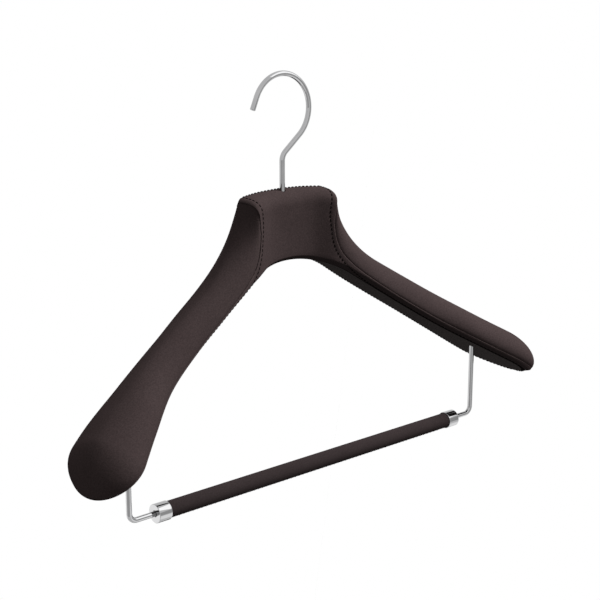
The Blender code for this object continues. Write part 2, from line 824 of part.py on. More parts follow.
def bracket_insert(side, name):
    """Metal sleeve in the core that grips a bracket wire."""
    inner = WIRE_DIAMETER / 2 + GAP
    made = turned(name, sleeve_profile(inner, INSERT_DIAMETER / 2, 0, INSERT_LENGTH), BRASS)
    made.location = (side * WIRE_X, BAR_Y, INSERT_LOW)
    return made


def along_bar(made, side=1):
    """Lay a piece turned about Z along the bar, its foot at the bar's middle."""
    made.rotation_euler = (0, side * pi / 2, 0)
    made.location = (0, BAR_Y, BAR_Z)
    return made


FERRULE_INNER = FERRULE_DIAMETER / 2 - FERRULE_WALL
BUSHING_TOP = BAR_LENGTH / 2 - FERRULE_END - GAP
BAR_BODY = BUSHING_TOP - BUSHING_FLANGE - GAP
TUBE_OUTER = BAR_DIAMETER / 2 - COVER_THICKNESS - GAP
TUBE_INNER = TUBE_OUTER - TUBE_WALL


def bar_tube():
    """Light tube that stiffens the bar."""
    profile = sleeve_profile(TUBE_INNER, TUBE_OUTER, -BAR_BODY, BAR_BODY)
    return along_bar(turned("bar_tube", profile, ALUMINIUM))


def bar_cover():
    """Leather sleeve over the tube."""
    inner = BAR_DIAMETER / 2 - COVER_THICKNESS
    profile = sleeve_profile(inner, BAR_DIAMETER / 2, -BAR_BODY, BAR_BODY)
    return along_bar(turned("bar_cover", profile, DARK_LEATHER))


def ferrule(side, name):
    """Cap over one end of the bar, with a hole for the wire."""
    radius = FERRULE_DIAMETER / 2
    end = BAR_LENGTH / 2
    hole = WIRE_DIAMETER / 2 + 2 * RUNNING_CLEARANCE
    profile = [
        (hole, end),
        (hole, end - FERRULE_END),
        (FERRULE_INNER, end - FERRULE_END),
        (FERRULE_INNER, end - FERRULE_LENGTH),
        (radius, end - FERRULE_LENGTH),
        (radius, end - FERRULE_CHAMFER),
        (radius - FERRULE_CHAMFER, end),
    ]
    return along_bar(turned(name, profile, CHROME), side)


def bar_bushing(side, name):
    """Nylon bearing in one end of the bar, turning on the wire."""
    bore = WIRE_DIAMETER / 2 + RUNNING_CLEARANCE
    low = BUSHING_TOP - BUSHING_FLANGE
    profile = [
        (bore, BUSHING_TOP),
        (bore, low - BUSHING_SHANK),
        (TUBE_INNER - GAP, low - BUSHING_SHANK),
        (TUBE_INNER - GAP, low),
        (FERRULE_INNER - GAP, low),
        (FERRULE_INNER - GAP, BUSHING_TOP),
    ]
    return along_bar(turned(name, profile, NYLON), side)


def core_dowel(name, drop):
    """Pin across the joint of the two core halves."""
    half = CORE_DOWEL_LENGTH / 2
    made = turned(name, rod_profile(CORE_DOWEL_DIAMETER / 2, -half, half, GAP), BEECH)
    made.rotation_euler = (0, pi / 2, 0)
    made.location = (0, CORE_DOWEL_Y, NECK_TOP - drop)
    return made


# Assembly

def drill_core(core, side):
    """Holes in one half of the core."""
    tag = core.name
    stem = HOOK_WIRE / 2 + RUNNING_CLEARANCE
    bush = stem + BUSH_WALL + GAP
    bush_low = NECK_TOP - BUSH_COVER - BUSH_LENGTH - GAP
    bottom = NECK_TOP - ARCH_DROP
    steps = [(NUT_POCKET_DIAMETER / 2, bottom), (NUT_POCKET_DIAMETER / 2, POCKET_TOP), (stem, POCKET_TOP)]
    steps += [(stem, bush_low), (bush, bush_low), (bush, 0)]
    bore = turned(f"{tag}_hook_bore", [(0, bottom)] + steps + [(0, 0)], STEEL)
    cut(core, bore, "MANIFOLD")     # the exact solver loses the core at this bore
    reach = CORE_DOWEL_LENGTH / 2 + GAP
    for i, drop in enumerate(CORE_DOWEL_DROPS):
        hole = cutter(f"{tag}_dowel_hole_{i}", CORE_DOWEL_DIAMETER / 2 + GAP, -reach, reach)
        hole.rotation_euler = (0, pi / 2, 0)
        hole.location = (0, CORE_DOWEL_Y, NECK_TOP - drop)
        cut(core, hole)
    insert = cutter(f"{tag}_insert_bore", INSERT_DIAMETER / 2 + GAP, -INSERT_LENGTH, INSERT_LENGTH + GAP)
    insert.location = (side * WIRE_X, BAR_Y, INSERT_LOW)
    cut(core, insert)


def drill_leather(front, underside):
    """Holes for the hook's stem and the bracket wires."""
    stem = cutter("stem_hole", HOOK_WIRE / 2 + HOOK_HOLE_CLEARANCE, -NECK_CORNER_RADIUS, NECK_CORNER_RADIUS)
    stem.location = (0, 0, NECK_TOP)
    cut(front, stem)
    for side, tag in ((-1, "left"), (1, "right")):
        hole = cutter(f"wire_hole_{tag}", WIRE_DIAMETER / 2 + GAP, -2 * LEATHER, 3 * LEATHER)
        hole.location = (side * WIRE_X, BAR_Y, NECK_TOP + underside_z(WIRE_X))
        cut(underside, hole)


def empty(name, spot, parent=None):
    """Marker for a joint's axis or an assembly."""
    made = bpy.data.objects.new(name, None)
    made.location = spot
    made.empty_display_size = MARKER_SIZE
    bpy.context.collection.objects.link(made)
    if parent:
        bpy.context.view_layer.update()
        under(parent, made)
    return made


def assemble():
    """Model every piece and hang it under the axis that it moves about."""
    swivel = empty("swivel_axis", (0, 0, NECK_TOP))
    roll = empty("bar_axis", (0, BAR_Y, BAR_Z), swivel)
    hook()
    hook_nut()
    front = front_panel()
    underside = underside_panel()
    body = [front, back_panel(), underside, hook_bush(), hook_washer()]
    for side, tag in ((-1, "left"), (1, "right")):
        core = core_half(side, f"core_{tag}")
        drill_core(core, side)
        body += [core, shoulder_panel(side, f"shoulder_panel_{tag}")]
        body += [bracket_wire(side, f"bracket_wire_{tag}"), bracket_insert(side, f"bracket_insert_{tag}")]
    body += [core_dowel("core_dowel_upper", CORE_DOWEL_DROPS[0])]
    body += [core_dowel("core_dowel_lower", CORE_DOWEL_DROPS[1])]
    drill_leather(front, underside)
    bar = [bar_tube(), bar_cover()]
    for side, tag in ((-1, "left"), (1, "right")):
        bar += [ferrule(side, f"ferrule_{tag}"), bar_bushing(side, f"bar_bushing_{tag}")]
    bpy.context.view_layer.update()
    for piece in body:
        under(swivel, piece)
    for piece in bar:
        under(roll, piece)


assemble()
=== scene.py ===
"""Looks of a suit hanger: sewn leather body, chrome hook and brackets, rolling trouser bar.

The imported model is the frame: metres, origin at the hook's seat on the rail, X along the
hanger, -Y the front that the shoulders curve towards, +Z up.
"""

import logging
from dataclasses import dataclass
from enum import Enum
from math import cos, hypot, pi, radians, sin, sqrt, tan
from typing import Callable, Optional, Sequence

import bmesh
import bpy
import numpy as np
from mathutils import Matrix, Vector
from mathutils.kdtree import KDTree


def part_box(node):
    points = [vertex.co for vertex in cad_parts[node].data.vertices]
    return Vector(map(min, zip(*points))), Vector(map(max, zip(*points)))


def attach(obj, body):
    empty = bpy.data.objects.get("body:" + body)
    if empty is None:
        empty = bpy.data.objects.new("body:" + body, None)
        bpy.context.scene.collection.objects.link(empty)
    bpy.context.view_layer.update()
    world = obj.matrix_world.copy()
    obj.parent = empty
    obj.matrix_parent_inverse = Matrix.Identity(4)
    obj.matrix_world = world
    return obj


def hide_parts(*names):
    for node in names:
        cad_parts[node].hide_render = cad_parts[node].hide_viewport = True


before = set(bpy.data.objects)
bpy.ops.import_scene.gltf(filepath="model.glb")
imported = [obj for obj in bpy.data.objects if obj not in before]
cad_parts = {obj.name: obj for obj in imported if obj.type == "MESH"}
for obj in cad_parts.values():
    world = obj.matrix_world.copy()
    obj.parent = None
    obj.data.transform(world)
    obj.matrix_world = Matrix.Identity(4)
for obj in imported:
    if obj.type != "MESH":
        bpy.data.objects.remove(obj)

MM = 0.001
LOG = logging.getLogger("hanger")
PointPair = tuple[float, float]
Colour = tuple[float, float, float]
Shape = tuple[np.ndarray, list[list[int]]]
MIRROR = np.array([-1.0, 1.0, 1.0])


class Part(Enum):
    """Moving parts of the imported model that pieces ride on."""

    HOOK = "hook"
    HANGER = "hanger"
    BAR = "bar"


class Slot(Enum):
    """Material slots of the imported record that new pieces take."""

    LEATHER = "dark_leather"
    CHROME = "chrome"


class Side(Enum):
    """Left and right half of the hanger, by the sign of X."""

    LEFT = -1
    RIGHT = 1

    @property
    def tag(self) -> str:
        """Word that ends the names of this side's pieces."""
        return self.name.lower()


class Face(Enum):
    """Front and back of the body, by the way to its middle along Y."""

    FRONT = 1
    BACK = -1


# Numbers and lines


def share(value: float, start: float, end: float) -> float:
    """How far a value lies from start to end, from 0 to 1.

    Args:
        value: The value.
        start: Where the share is 0.
        end: Where the share is 1.

    Returns:
        The share, held between 0 and 1.
    """
    return min(max((value - start) / (end - start), 0.0), 1.0)


def mix(low: float, high: float, part: float) -> float:
    """Value between two others.

    Args:
        low: Value at part 0.
        high: Value at part 1.
        part: Share of the way.

    Returns:
        The value, or the point, on the way.
    """
    return low + (high - low) * part


def ease(part: float) -> float:
    """Share from 0 to 1 with level ends.

    Args:
        part: Share from 0 to 1.

    Returns:
        The eased share.
    """
    return part * part * (3 - 2 * part)


def smooth_route(points: Sequence[PointPair], steps: int) -> np.ndarray:
    """Smooth line through a few points in a plane.

    Args:
        points: The points that the line goes through.
        steps: Steps between two of them.

    Returns:
        The line's points, one in each row.
    """
    corner = np.array(points, float)
    ends = np.vstack([2 * corner[0] - corner[1], corner, 2 * corner[-1] - corner[-2]])
    line = []
    for before, start, end, after in zip(ends, ends[1:], ends[2:], ends[3:]):
        for t in np.linspace(0, 1, steps, endpoint=False):
            line.append(0.5 * (
                2 * start + (end - before) * t
                + (2 * before - 5 * start + 4 * end - after) * t ** 2
                + (3 * start - before - 3 * end + after) * t ** 3))
    return np.array(line + [corner[-1]])


@dataclass
class EdgeLine:
    """Smooth plan line of the body's front or back edge.

    Args:
        points: Places along X and Y, in millimetres.
    """

    points: tuple[PointPair, ...]

    def __post_init__(self) -> None:
        """Work out the slope at each point."""
        place = np.array(self.points, float) * MM
        self.x = place[:, 0]
        self.y = place[:, 1]
        last = len(place) - 1
        before = np.maximum(np.arange(last + 1) - 1, 0)
        after = np.minimum(np.arange(last + 1) + 1, last)
        self.slope = (self.y[after] - self.y[before]) / (self.x[after] - self.x[before])
        self.slope[0] = 0.0

    def at(self, x: np.ndarray) -> np.ndarray:
        """Y of the edge.

        Args:
            x: Distances from the middle along X.

        Returns:
            The edge's place along Y at each of them.
        """
        i = np.clip(np.searchsorted(self.x, x, side="right") - 1, 0, len(self.x) - 2)
        width = self.x[i + 1] - self.x[i]
        t = (x - self.x[i]) / width
        return (
            self.y[i] * (1 + 2 * t) * (1 - t) ** 2
            + width * self.slope[i] * t * (1 - t) ** 2
            + self.y[i + 1] * t * t * (3 - 2 * t)
            - width * self.slope[i + 1] * t * t * (1 - t)
        )


# Form of the body


@dataclass
class ShoulderForm:
    """Outer form of the body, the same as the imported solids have, on as fine a grid as asked.

    A section is found by its distance along the crest from the middle. A place in it is found
    by its run: the way up the face from the lower edge of the bevelled band.
    """

    neck_top: float = -84.7 * MM
    dome_length: float = 38.5 * MM
    dome_angle: float = radians(5)
    corner_radius: float = 4.5 * MM
    side_angle: float = radians(70)
    side_length: float = 11.5 * MM
    sweep_radius: float = 100 * MM
    crest_angle: float = radians(31.5)
    crest_run: float = 133 * MM
    arch_drop: float = 53.5 * MM
    arch_radius: float = 97 * MM
    underside_angle: float = radians(33.2)
    plan_turn: float = radians(10)
    tip_run: float = 26 * MM
    tip_lean: float = 0.69
    tip_roundness: float = 1.95
    fan_neck: float = 24 * MM
    fan_corner: float = 31 * MM
    band_height: float = 3.3 * MM
    band_inset: float = 3.9 * MM
    knee_round: float = 0.9 * MM
    foot_low: float = 4.9 * MM
    foot_top: float = 0.78
    foot_fall: float = 22 * MM
    seam_low: float = 3.72 * MM
    seam_corner: float = 33 * MM
    seam_fall: float = 17 * MM
    seam_bend: float = 0.9
    seam_lean: float = 2.2 * MM
    lean_reach: float = 30 * MM
    lean_top: float = 0.5
    crown_corner: float = 0.8
    corner_fade: float = 8 * MM
    crown_neck: float = 2.3
    crown_neck_back: float = 1.3
    crown_arm: float = 1.75
    crown_arm_back: float = 1.6
    crest_neck: float = 0.13
    crest_corner: float = 0.45
    crest_middle: float = 0.65
    crest_tip: float = 0.5
    front_points: tuple[PointPair, ...] = (
        (0, -10), (20, -12), (40, -20.5), (75, -27), (105, -32.5), (136, -43), (165, -64), (190, -84))
    back_points: tuple[PointPair, ...] = (
        (0, 8), (25, 11.5), (45, 15.5), (70, 16), (95, 12), (121, 5.5), (160, -2), (187, -7),
        (205, -13.5))

    def __post_init__(self) -> None:
        """Work out where the crest's straight and curved stretches end."""
        corner = self.corner_radius * (self.side_angle - self.dome_angle)
        sweep = self.sweep_radius * (self.side_angle - self.crest_angle)
        self.stretches = (
            (self.dome_length, self.dome_angle),
            (corner, self.side_angle - self.dome_angle),
            (self.side_length, 0.0),
            (sweep, self.crest_angle - self.side_angle),
            (self.crest_run, 0.0),
        )
        self.corner_end = self.dome_length + corner
        self.sweep_end = self.corner_end + self.side_length + sweep
        self.crest_end = self.sweep_end + self.crest_run
        self.arch_run = self.arch_radius * sin(self.underside_angle)
        self.front_edge = EdgeLine(self.front_points)
        self.back_edge = EdgeLine(self.back_points)
        self.known: dict[float, "Section"] = {}

    def crest_point(self, distance: float) -> tuple[float, float]:
        """Point on the crest in the front view.

        Args:
            distance: Distance along the crest from the middle.

        Returns:
            Its place along X, and its height over the neck's top.
        """
        x, z, heading = 0.0, 0.0, 0.0
        for length, turn in self.stretches:
            part = min(distance, length)
            turned = turn * part / length
            if turn:
                radius = length / turn
                x += radius * (sin(heading + turned) - sin(heading))
                z -= radius * (cos(heading) - cos(heading + turned))
            else:
                x += part * cos(heading)
                z -= part * sin(heading)
            heading += turned
            distance -= part
            if distance <= 0:
                break
        return x, z

    def underside_z(self, x: float) -> float:
        """Height of the underside over the neck's top.

        Args:
            x: Distance from the middle along X.

        Returns:
            The height, which is below zero.
        """
        arch = sqrt(self.arch_radius ** 2 - min(x, self.arch_run) ** 2)
        level = -self.arch_drop - self.arch_radius + arch
        return level - max(x - self.arch_run, 0) * tan(self.underside_angle)

    def underside_slope(self, x: float) -> float:
        """Fall of the underside per unit along X.

        Args:
            x: Distance from the middle along X.

        Returns:
            The fall.
        """
        steepest = tan(self.underside_angle)
        return min(x / sqrt(self.arch_radius ** 2 - min(x, self.arch_run) ** 2), steepest)

    def foot_x(self, x: float, z: float) -> float:
        """Where a square line from the crest meets the underside.

        Args:
            x: The crest's place along X.
            z: The crest's height.

        Returns:
            The place along X.
        """
        drop = z - self.underside_z(x)
        return x - drop * cos(self.underside_angle) * sin(self.underside_angle)

    def base_x(self, distance: float) -> float:
        """Place along X of a section's foot.

        Args:
            distance: The section's distance along the crest.

        Returns:
            The place along X on the underside.
        """
        if distance < self.dome_length:
            return self.fan_neck * distance / self.dome_length
        if distance < self.corner_end:
            return mix(self.fan_neck, self.fan_corner, share(distance, self.dome_length, self.corner_end))
        if distance < self.sweep_end:
            far = self.foot_x(*self.crest_point(self.sweep_end))
            return mix(self.fan_corner, far, share(distance, self.corner_end, self.sweep_end))
        return self.foot_x(*self.crest_point(distance))

    def section(self, distance: float) -> "Section":
        """Section at a distance along the crest, made once.

        Args:
            distance: The distance.

        Returns:
            The section.
        """
        if distance not in self.known:
            self.known[distance] = Section(self, distance)
        return self.known[distance]

    def seam_height(self, distance: float) -> float:
        """Height of the long seam over the underside.

        Args:
            distance: Distance along the crest.

        Returns:
            The seam's height in its section.
        """
        past = max(distance - self.corner_end, 0.0)
        fall = np.exp(-(past / self.seam_fall) ** self.seam_bend)
        return mix(self.seam_low, self.seam_corner, float(fall))

    def leaned(self, distance: float, height: float) -> float:
        """Distance along the crest of a spot that the seam's lean has moved outwards.

        Args:
            distance: Distance of the grid's row.
            height: Height in its section, as a share of the section's own.

        Returns:
            The distance of the section that the spot lies in.
        """
        near = ease(1 - min(abs(distance - self.corner_end) / self.lean_reach, 1.0))
        low = 1 - ease(share(height, self.lean_top, 1.0))
        return distance + self.seam_lean * near * low

    def row(self, face: Face, distance: float, runs: np.ndarray) -> np.ndarray:
        """Points along one row of the grid on the right half.

        Args:
            face: Front or back.
            distance: The row's distance along the crest.
            runs: Runs from the band's lower edge; below zero they lie on the underside.

        Returns:
            The points, one in each row.
        """
        section = self.section(distance)
        path = section.path(face)
        if abs(distance - self.corner_end) >= self.lean_reach:
            return section.points(path, face, runs)
        seam = path.run_at(self.seam_height(distance))
        points = []
        for run in runs:
            height = path.at(max(run, 0.0))[1] / section.height
            there = self.section(round(self.leaned(distance, float(height)), 7))
            other = there.path(face)
            stretch = (other.length - seam) / (path.length - seam)
            moved = run if run <= seam else seam + (run - seam) * stretch
            points.append(there.points(other, face, np.array([moved]))[0])
        return np.array(points)

    def spot(self, face: Face, distance: float, run: float) -> np.ndarray:
        """Point on the outer form of the right half.

        Args:
            face: Front or back.
            distance: The section's distance along the crest.
            run: Way up the face from the band's lower edge.

        Returns:
            The point.
        """
        return self.row(face, distance, np.array([run]))[0]

    def tip_spot(self, angle: float, run: float) -> np.ndarray:
        """Point on the rounded end of the right half.

        Args:
            angle: Turn round the end, from -90 degrees in front to 90 degrees behind.
            run: Way up the face from the band's lower edge.

        Returns:
            The point.
        """
        section = self.section(self.crest_end)
        return section.tip_points(section.tip_path(angle), angle, np.array([run]))[0]


@dataclass
class FacePath:
    """Outline of one face of a section, from the band's lower edge up to the crest.

    Args:
        across: Places along Y in the section.
        height: Heights over the underside.
    """

    across: np.ndarray
    height: np.ndarray

    def __post_init__(self) -> None:
        """Measure the run along the outline."""
        step = np.hypot(np.diff(self.across), np.diff(self.height))
        self.run = np.concatenate([[0.0], np.cumsum(step)])

    @property
    def length(self) -> float:
        """Run of the crest."""
        return float(self.run[-1])

    def run_at(self, height: float) -> float:
        """Run of a height on the face."""
        return float(np.interp(height, self.height, self.run))

    def at(self, run: np.ndarray) -> tuple[np.ndarray, np.ndarray]:
        """Places on the outline.

        Args:
            run: Runs from the band's lower edge.

        Returns:
            Their places across and their heights.
        """
        return np.interp(run, self.run, self.across), np.interp(run, self.run, self.height)


class Section:
    """One section of the body, in a plane that fans out from the underside to the crest."""

    KNEE_STEPS = 10
    CROWN_STEPS = 220
    EDGE_PASSES = 4

    def __init__(self, form: ShoulderForm, distance: float) -> None:
        """Work out the section's own sizes.

        Args:
            form: The body's form.
            distance: Distance along the crest from the middle.
        """
        self.form = form
        crest_x, crest_z = form.crest_point(distance)
        self.x = form.base_x(distance)
        self.z = form.underside_z(self.x)
        self.height = hypot(crest_x - self.x, crest_z - self.z)
        self.up_x = (crest_x - self.x) / self.height
        self.up_z = (crest_z - self.z) / self.height
        self.turn = tan(form.plan_turn) * share(distance, 0, form.dome_length)
        self.sweep = ease(share(distance, form.corner_end, form.sweep_end))
        self.low_slope = form.underside_slope(self.x)
        self.high_slope = tan(form.crest_angle) * self.sweep
        self.front, self.back = self.edges()
        self.middle = (self.front + self.back) / 2
        self.half = (self.back - self.front) / 2
        past = max(distance - form.corner_end, 0.0)
        fall = float(np.exp(-past / form.foot_fall))
        self.front_foot = mix(form.foot_low, form.foot_top * self.height, fall)
        squarer = form.crown_corner * share(distance, 0, form.corner_end)
        self.squarer = squarer * float(np.exp(-past / form.corner_fade))
        self.paths: dict[Face, FacePath] = {}
        neck = mix(form.crest_neck, form.crest_corner, share(distance, 0, form.corner_end))
        place = mix(neck, form.crest_middle, self.sweep)
        place = mix(place, form.crest_tip, ease(share(distance, form.sweep_end, form.crest_end)))
        self.crest = mix(self.back, self.front, place)

    def edges(self) -> tuple[float, float]:
        """Front and back edge where this section's turned plane meets them.

        Returns:
            Places along Y of the front and the back edge.
        """
        form = self.form
        front, back = float(form.front_edge.at(self.x)), float(form.back_edge.at(self.x))
        for _ in range(self.EDGE_PASSES):
            reach = self.turn * (back - front) / 2
            front = float(form.front_edge.at(self.x - reach))
            back = float(form.back_edge.at(self.x + reach))
        return front, back

    def roundness(self, face: Face) -> float:
        """How square the crown is on one face: 2 is an ellipse.

        Args:
            face: Front or back.

        Returns:
            The power of the crown's curve.
        """
        form = self.form
        if face is Face.FRONT:
            return mix(form.crown_neck, form.crown_arm, self.sweep) + self.squarer
        return mix(form.crown_neck_back, form.crown_arm_back, self.sweep)

    def path(self, face: Face) -> FacePath:
        """Outline of a face, made once.

        Args:
            face: Front or back.

        Returns:
            The outline.
        """
        if face not in self.paths:
            foot = self.front_foot if face is Face.FRONT else self.form.foot_low
            self.paths[face] = self.outline(face, foot, self.roundness(face))
        return self.paths[face]

    def outline(self, face: Face, foot: float, roundness: float) -> FacePath:
        """Outline of a face: bevelled band, wall and crown.

        Args:
            face: Front or back.
            foot: Height where the crown starts.
            roundness: The crown's roundness, where 2 is an ellipse.

        Returns:
            The outline.
        """
        form = self.form
        inward = face.value
        edge = self.front if face is Face.FRONT else self.back
        power = 2 / roundness
        slant = hypot(form.band_height, form.band_inset)
        turn = np.linspace(0, 1, self.KNEE_STEPS)
        before = (1 - turn) ** 2 * form.knee_round
        after = turn ** 2 * form.knee_round
        knee_across = edge + inward * before * form.band_inset / slant
        knee_height = form.band_height - before * form.band_height / slant + after
        angle = np.linspace(0, pi / 2, self.CROWN_STEPS)
        crown_across = mix(self.crest, edge, np.cos(angle) ** power)
        crown_height = mix(foot, self.height, np.sin(angle) ** power)
        across = np.concatenate([[edge + inward * form.band_inset], knee_across, crown_across])
        height = np.concatenate([[0.0], knee_height, crown_height])
        return FacePath(across, height)

    def place(self, across: np.ndarray, height: np.ndarray) -> np.ndarray:
        """Points of the right half for places in the section.

        Args:
            across: Places along Y in the section.
            height: Heights over the underside.

        Returns:
            The points, one in each row.
        """
        form = self.form
        x = self.x + self.up_x * height
        z = self.z + self.up_z * height
        part = (across - self.front) / (self.back - self.front)
        reach = self.half * self.turn
        shift = mix(-reach, reach, part)
        front = form.front_edge.at(x - reach)
        back = form.back_edge.at(x + reach)
        drop = shift * mix(self.low_slope, self.high_slope, height / self.height)
        return np.stack([x + shift, mix(front, back, part), form.neck_top + z - drop], -1)

    def points(self, path: FacePath, face: Face, run: np.ndarray) -> np.ndarray:
        """Points of the right half at runs up a face; below zero they lie on the underside.

        Args:
            path: The face's outline.
            face: Front or back.
            run: Runs from the band's lower edge.

        Returns:
            The points, one in each row.
        """
        across, height = path.at(np.maximum(run, 0))
        across = across + face.value * np.maximum(-run, 0)
        return self.place(across, height)

    def tip_path(self, angle: float) -> FacePath:
        """Outline up the rounded end, between the front's and the back's.

        Args:
            angle: Turn round the end, from -90 to 90 degrees, in radians.

        Returns:
            The outline.
        """
        part = (1 + sin(angle)) / 2
        foot = mix(self.front_foot, self.form.foot_low, part)
        roundness = mix(self.roundness(Face.FRONT), self.roundness(Face.BACK), part)
        return self.outline(Face.FRONT, foot, roundness)

    def tip_points(self, path: FacePath, angle: float, run: np.ndarray) -> np.ndarray:
        """Points on the rounded end of the right half.

        Args:
            path: The outline at that angle.
            angle: Turn round the end, from -90 to 90 degrees, in radians.
            run: Runs from the band's lower edge; below zero they lie on the underside.

        Returns:
            The points, one in each row.
        """
        form = self.form
        across, height = path.at(np.maximum(run, 0))
        across = across + np.maximum(-run, 0)
        reach = self.middle - across
        power = 2 / form.tip_roundness
        out = max(cos(angle), 0.0) ** power
        turned = np.sign(angle) * abs(sin(angle)) ** power
        base = self.place(self.middle + turned * reach, height)
        way = out * form.tip_run * reach / self.half
        lean = form.tip_lean + (self.edge_lean(angle) - form.tip_lean) * abs(sin(angle)) ** 6
        fall = tan(form.underside_angle)
        return base + np.stack([way, -lean * way, -fall * way], -1)

    def edge_lean(self, angle: float) -> float:
        """Run to the front of the body's edge beside the rounded end, per unit along X.

        Args:
            angle: Turn round the end, below zero in front.

        Returns:
            The run per unit.
        """
        edge = self.form.front_edge if angle < 0 else self.form.back_edge
        here = self.x + np.sign(angle) * self.half * self.turn
        step = 2 * MM
        return -float(edge.at(here) - edge.at(here - step)) / step


# Meshes


@dataclass
class Patch:
    """Grid of points with its outer side up when rows run along +X and columns go up the front.

    Args:
        points: Rows by columns by three.
        flip: Whether the grid's order gives the inner side instead.
    """

    points: np.ndarray
    flip: bool = False

    def mirrored(self) -> "Patch":
        """The same patch on the other half."""
        return Patch(self.points * MIRROR, not self.flip)


class Skin:
    """Open surface welded from patches, with its normals and its rim."""

    WELD = 2e-7

    def __init__(self, patches: Sequence[Patch]) -> None:
        """Weld the patches.

        Args:
            patches: The patches, which meet point on point.
        """
        blocks, quads, start = [], [], 0
        for patch in patches:
            rows, columns = patch.points.shape[:2]
            index = start + np.arange(rows * columns).reshape(rows, columns)
            corners = [index[:-1, :-1], index[1:, :-1], index[1:, 1:], index[:-1, 1:]]
            quad = np.stack(corners, -1).reshape(-1, 4)
            quads.append(quad[:, ::-1] if patch.flip else quad)
            blocks.append(patch.points.reshape(-1, 3))
            start += rows * columns
        points = np.concatenate(blocks)
        keys = np.round(points / self.WELD).astype(np.int64)
        _, first, back = np.unique(keys, axis=0, return_index=True, return_inverse=True)
        self.points = points[first]
        back = back.reshape(-1)
        self.faces = []
        for quad in back[np.concatenate(quads)]:
            corners = list(dict.fromkeys(quad.tolist()))
            if len(corners) > 2:
                self.faces.append(corners)
        self.normals = self.measure_normals()
        self.rim = self.find_rim()

    def measure_normals(self) -> np.ndarray:
        """Normal at each point, weighted by the area of its faces.

        Returns:
            The normals, one in each row.
        """
        total = np.zeros_like(self.points)
        four = np.array([corners + corners[-1:] * (4 - len(corners)) for corners in self.faces])
        a, b, c, d = (self.points[four[:, i]] for i in range(4))
        normal = np.cross(c - a, d - b)
        for i in range(4):
            np.add.at(total, four[:, i], normal)
        return total / (np.linalg.norm(total, axis=1, keepdims=True) + 1e-30)

    def find_rim(self) -> list[tuple[int, int]]:
        """Edges that only one face has, in that face's order.

        Returns:
            The edges, as pairs of points.
        """
        edges = {}
        for corners in self.faces:
            for start, end in zip(corners, corners[1:] + corners[:1]):
                edges[start, end] = True
        return [edge for edge in edges if (edge[1], edge[0]) not in edges]

    def solid(self, raise_by: np.ndarray, thickness: float) -> Shape:
        """Close the skin into a sheet with a thickness.

        Args:
            raise_by: How far each point of the outer side stands over the form.
            thickness: How far the inner side lies under the form.

        Returns:
            The points and the faces.
        """
        count = len(self.points)
        outer = self.points + self.normals * raise_by[:, None]
        inner = self.points - self.normals * thickness
        faces = list(self.faces)
        faces += [[i + count for i in reversed(corners)] for corners in self.faces]
        faces += [[end, start, start + count, end + count] for start, end in self.rim]
        return np.concatenate([outer, inner]), faces


def placed(name: str, data: bpy.types.ID) -> bpy.types.Object:
    """Put a new object into the scene.

    Args:
        name: Its name.
        data: Its mesh, lamp or camera.

    Returns:
        The object.
    """
    thing = bpy.data.objects.new(name, data)
    bpy.context.scene.collection.objects.link(thing)
    return thing


def add_piece(name: str, points: np.ndarray, faces: list[list[int]], finish: bpy.types.Material,
              part: Part, replaces: Sequence[str] = ()) -> bpy.types.Object:
    """Make a piece from points and faces and hang it on its moving part.

    Args:
        name: The piece's name.
        points: Its points, one in each row.
        faces: Its faces, as lists of rows.
        finish: Its material.
        part: The moving part that it rides on.
        replaces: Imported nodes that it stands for.

    Returns:
        The piece.
    """
    mesh = bpy.data.meshes.new(name)
    mesh.from_pydata(points.tolist(), [], faces)
    mesh.materials.append(finish)
    mesh.shade_smooth()
    piece = placed(name, mesh)
    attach(piece, part.value)
    if replaces:
        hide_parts(*replaces)
    LOG.info("%s: %d points on %s", name, len(points), part.value)
    return piece


def hoop_faces(rings: int, sides: int) -> list[list[int]]:
    """Faces between rings of points that follow one another.

    Args:
        rings: How many rings there are.
        sides: Points in each.

    Returns:
        The faces, as lists of points.
    """
    faces = []
    for i in range(rings - 1):
        for j in range(sides):
            k = (j + 1) % sides
            faces.append([i * sides + j, i * sides + k, (i + 1) * sides + k, (i + 1) * sides + j])
    return faces


def rod(line: np.ndarray, radii: np.ndarray, first: np.ndarray, second: np.ndarray,
        sides: int) -> Shape:
    """Round rod with flat ends, made of rings about its centre line.

    Args:
        line: The centre line.
        radii: The rod's radius at each of its points.
        first: Direction at each point in which its ring starts.
        second: Direction that the rings turn towards.
        sides: Faces round the rod.

    Returns:
        The points and the faces.
    """
    turn = np.linspace(0, 2 * pi, sides, endpoint=False)
    rings = (
        line[:, None]
        + radii[:, None, None] * np.cos(turn)[None, :, None] * first[:, None]
        + radii[:, None, None] * np.sin(turn)[None, :, None] * second
    ).reshape(-1, 3)
    faces = hoop_faces(len(line), sides)
    last = (len(line) - 1) * sides
    faces.append(list(reversed(range(sides))))
    faces.append([last + j for j in range(sides)])
    return rings, faces


def swept(points: np.ndarray, radii: np.ndarray, side: Vector, sides: int) -> Shape:
    """Round rod along a line that lies in one plane, closed at both ends.

    Args:
        points: The centre line.
        radii: The rod's radius at each of its points.
        side: Direction square to the line's plane.
        sides: Faces round the rod.

    Returns:
        The points and the faces.
    """
    binormal = np.array(side.normalized())
    along = np.gradient(points, axis=0)
    along /= np.linalg.norm(along, axis=1, keepdims=True)
    return rod(points, radii, np.cross(binormal, along), binormal, sides)


def about_x(centre: PointPair, x: float, radius: float, turn: float) -> tuple[float, float, float]:
    """Point at a radius and a turn about a line along X."""
    return (x, centre[0] + radius * cos(turn), centre[1] + radius * sin(turn))


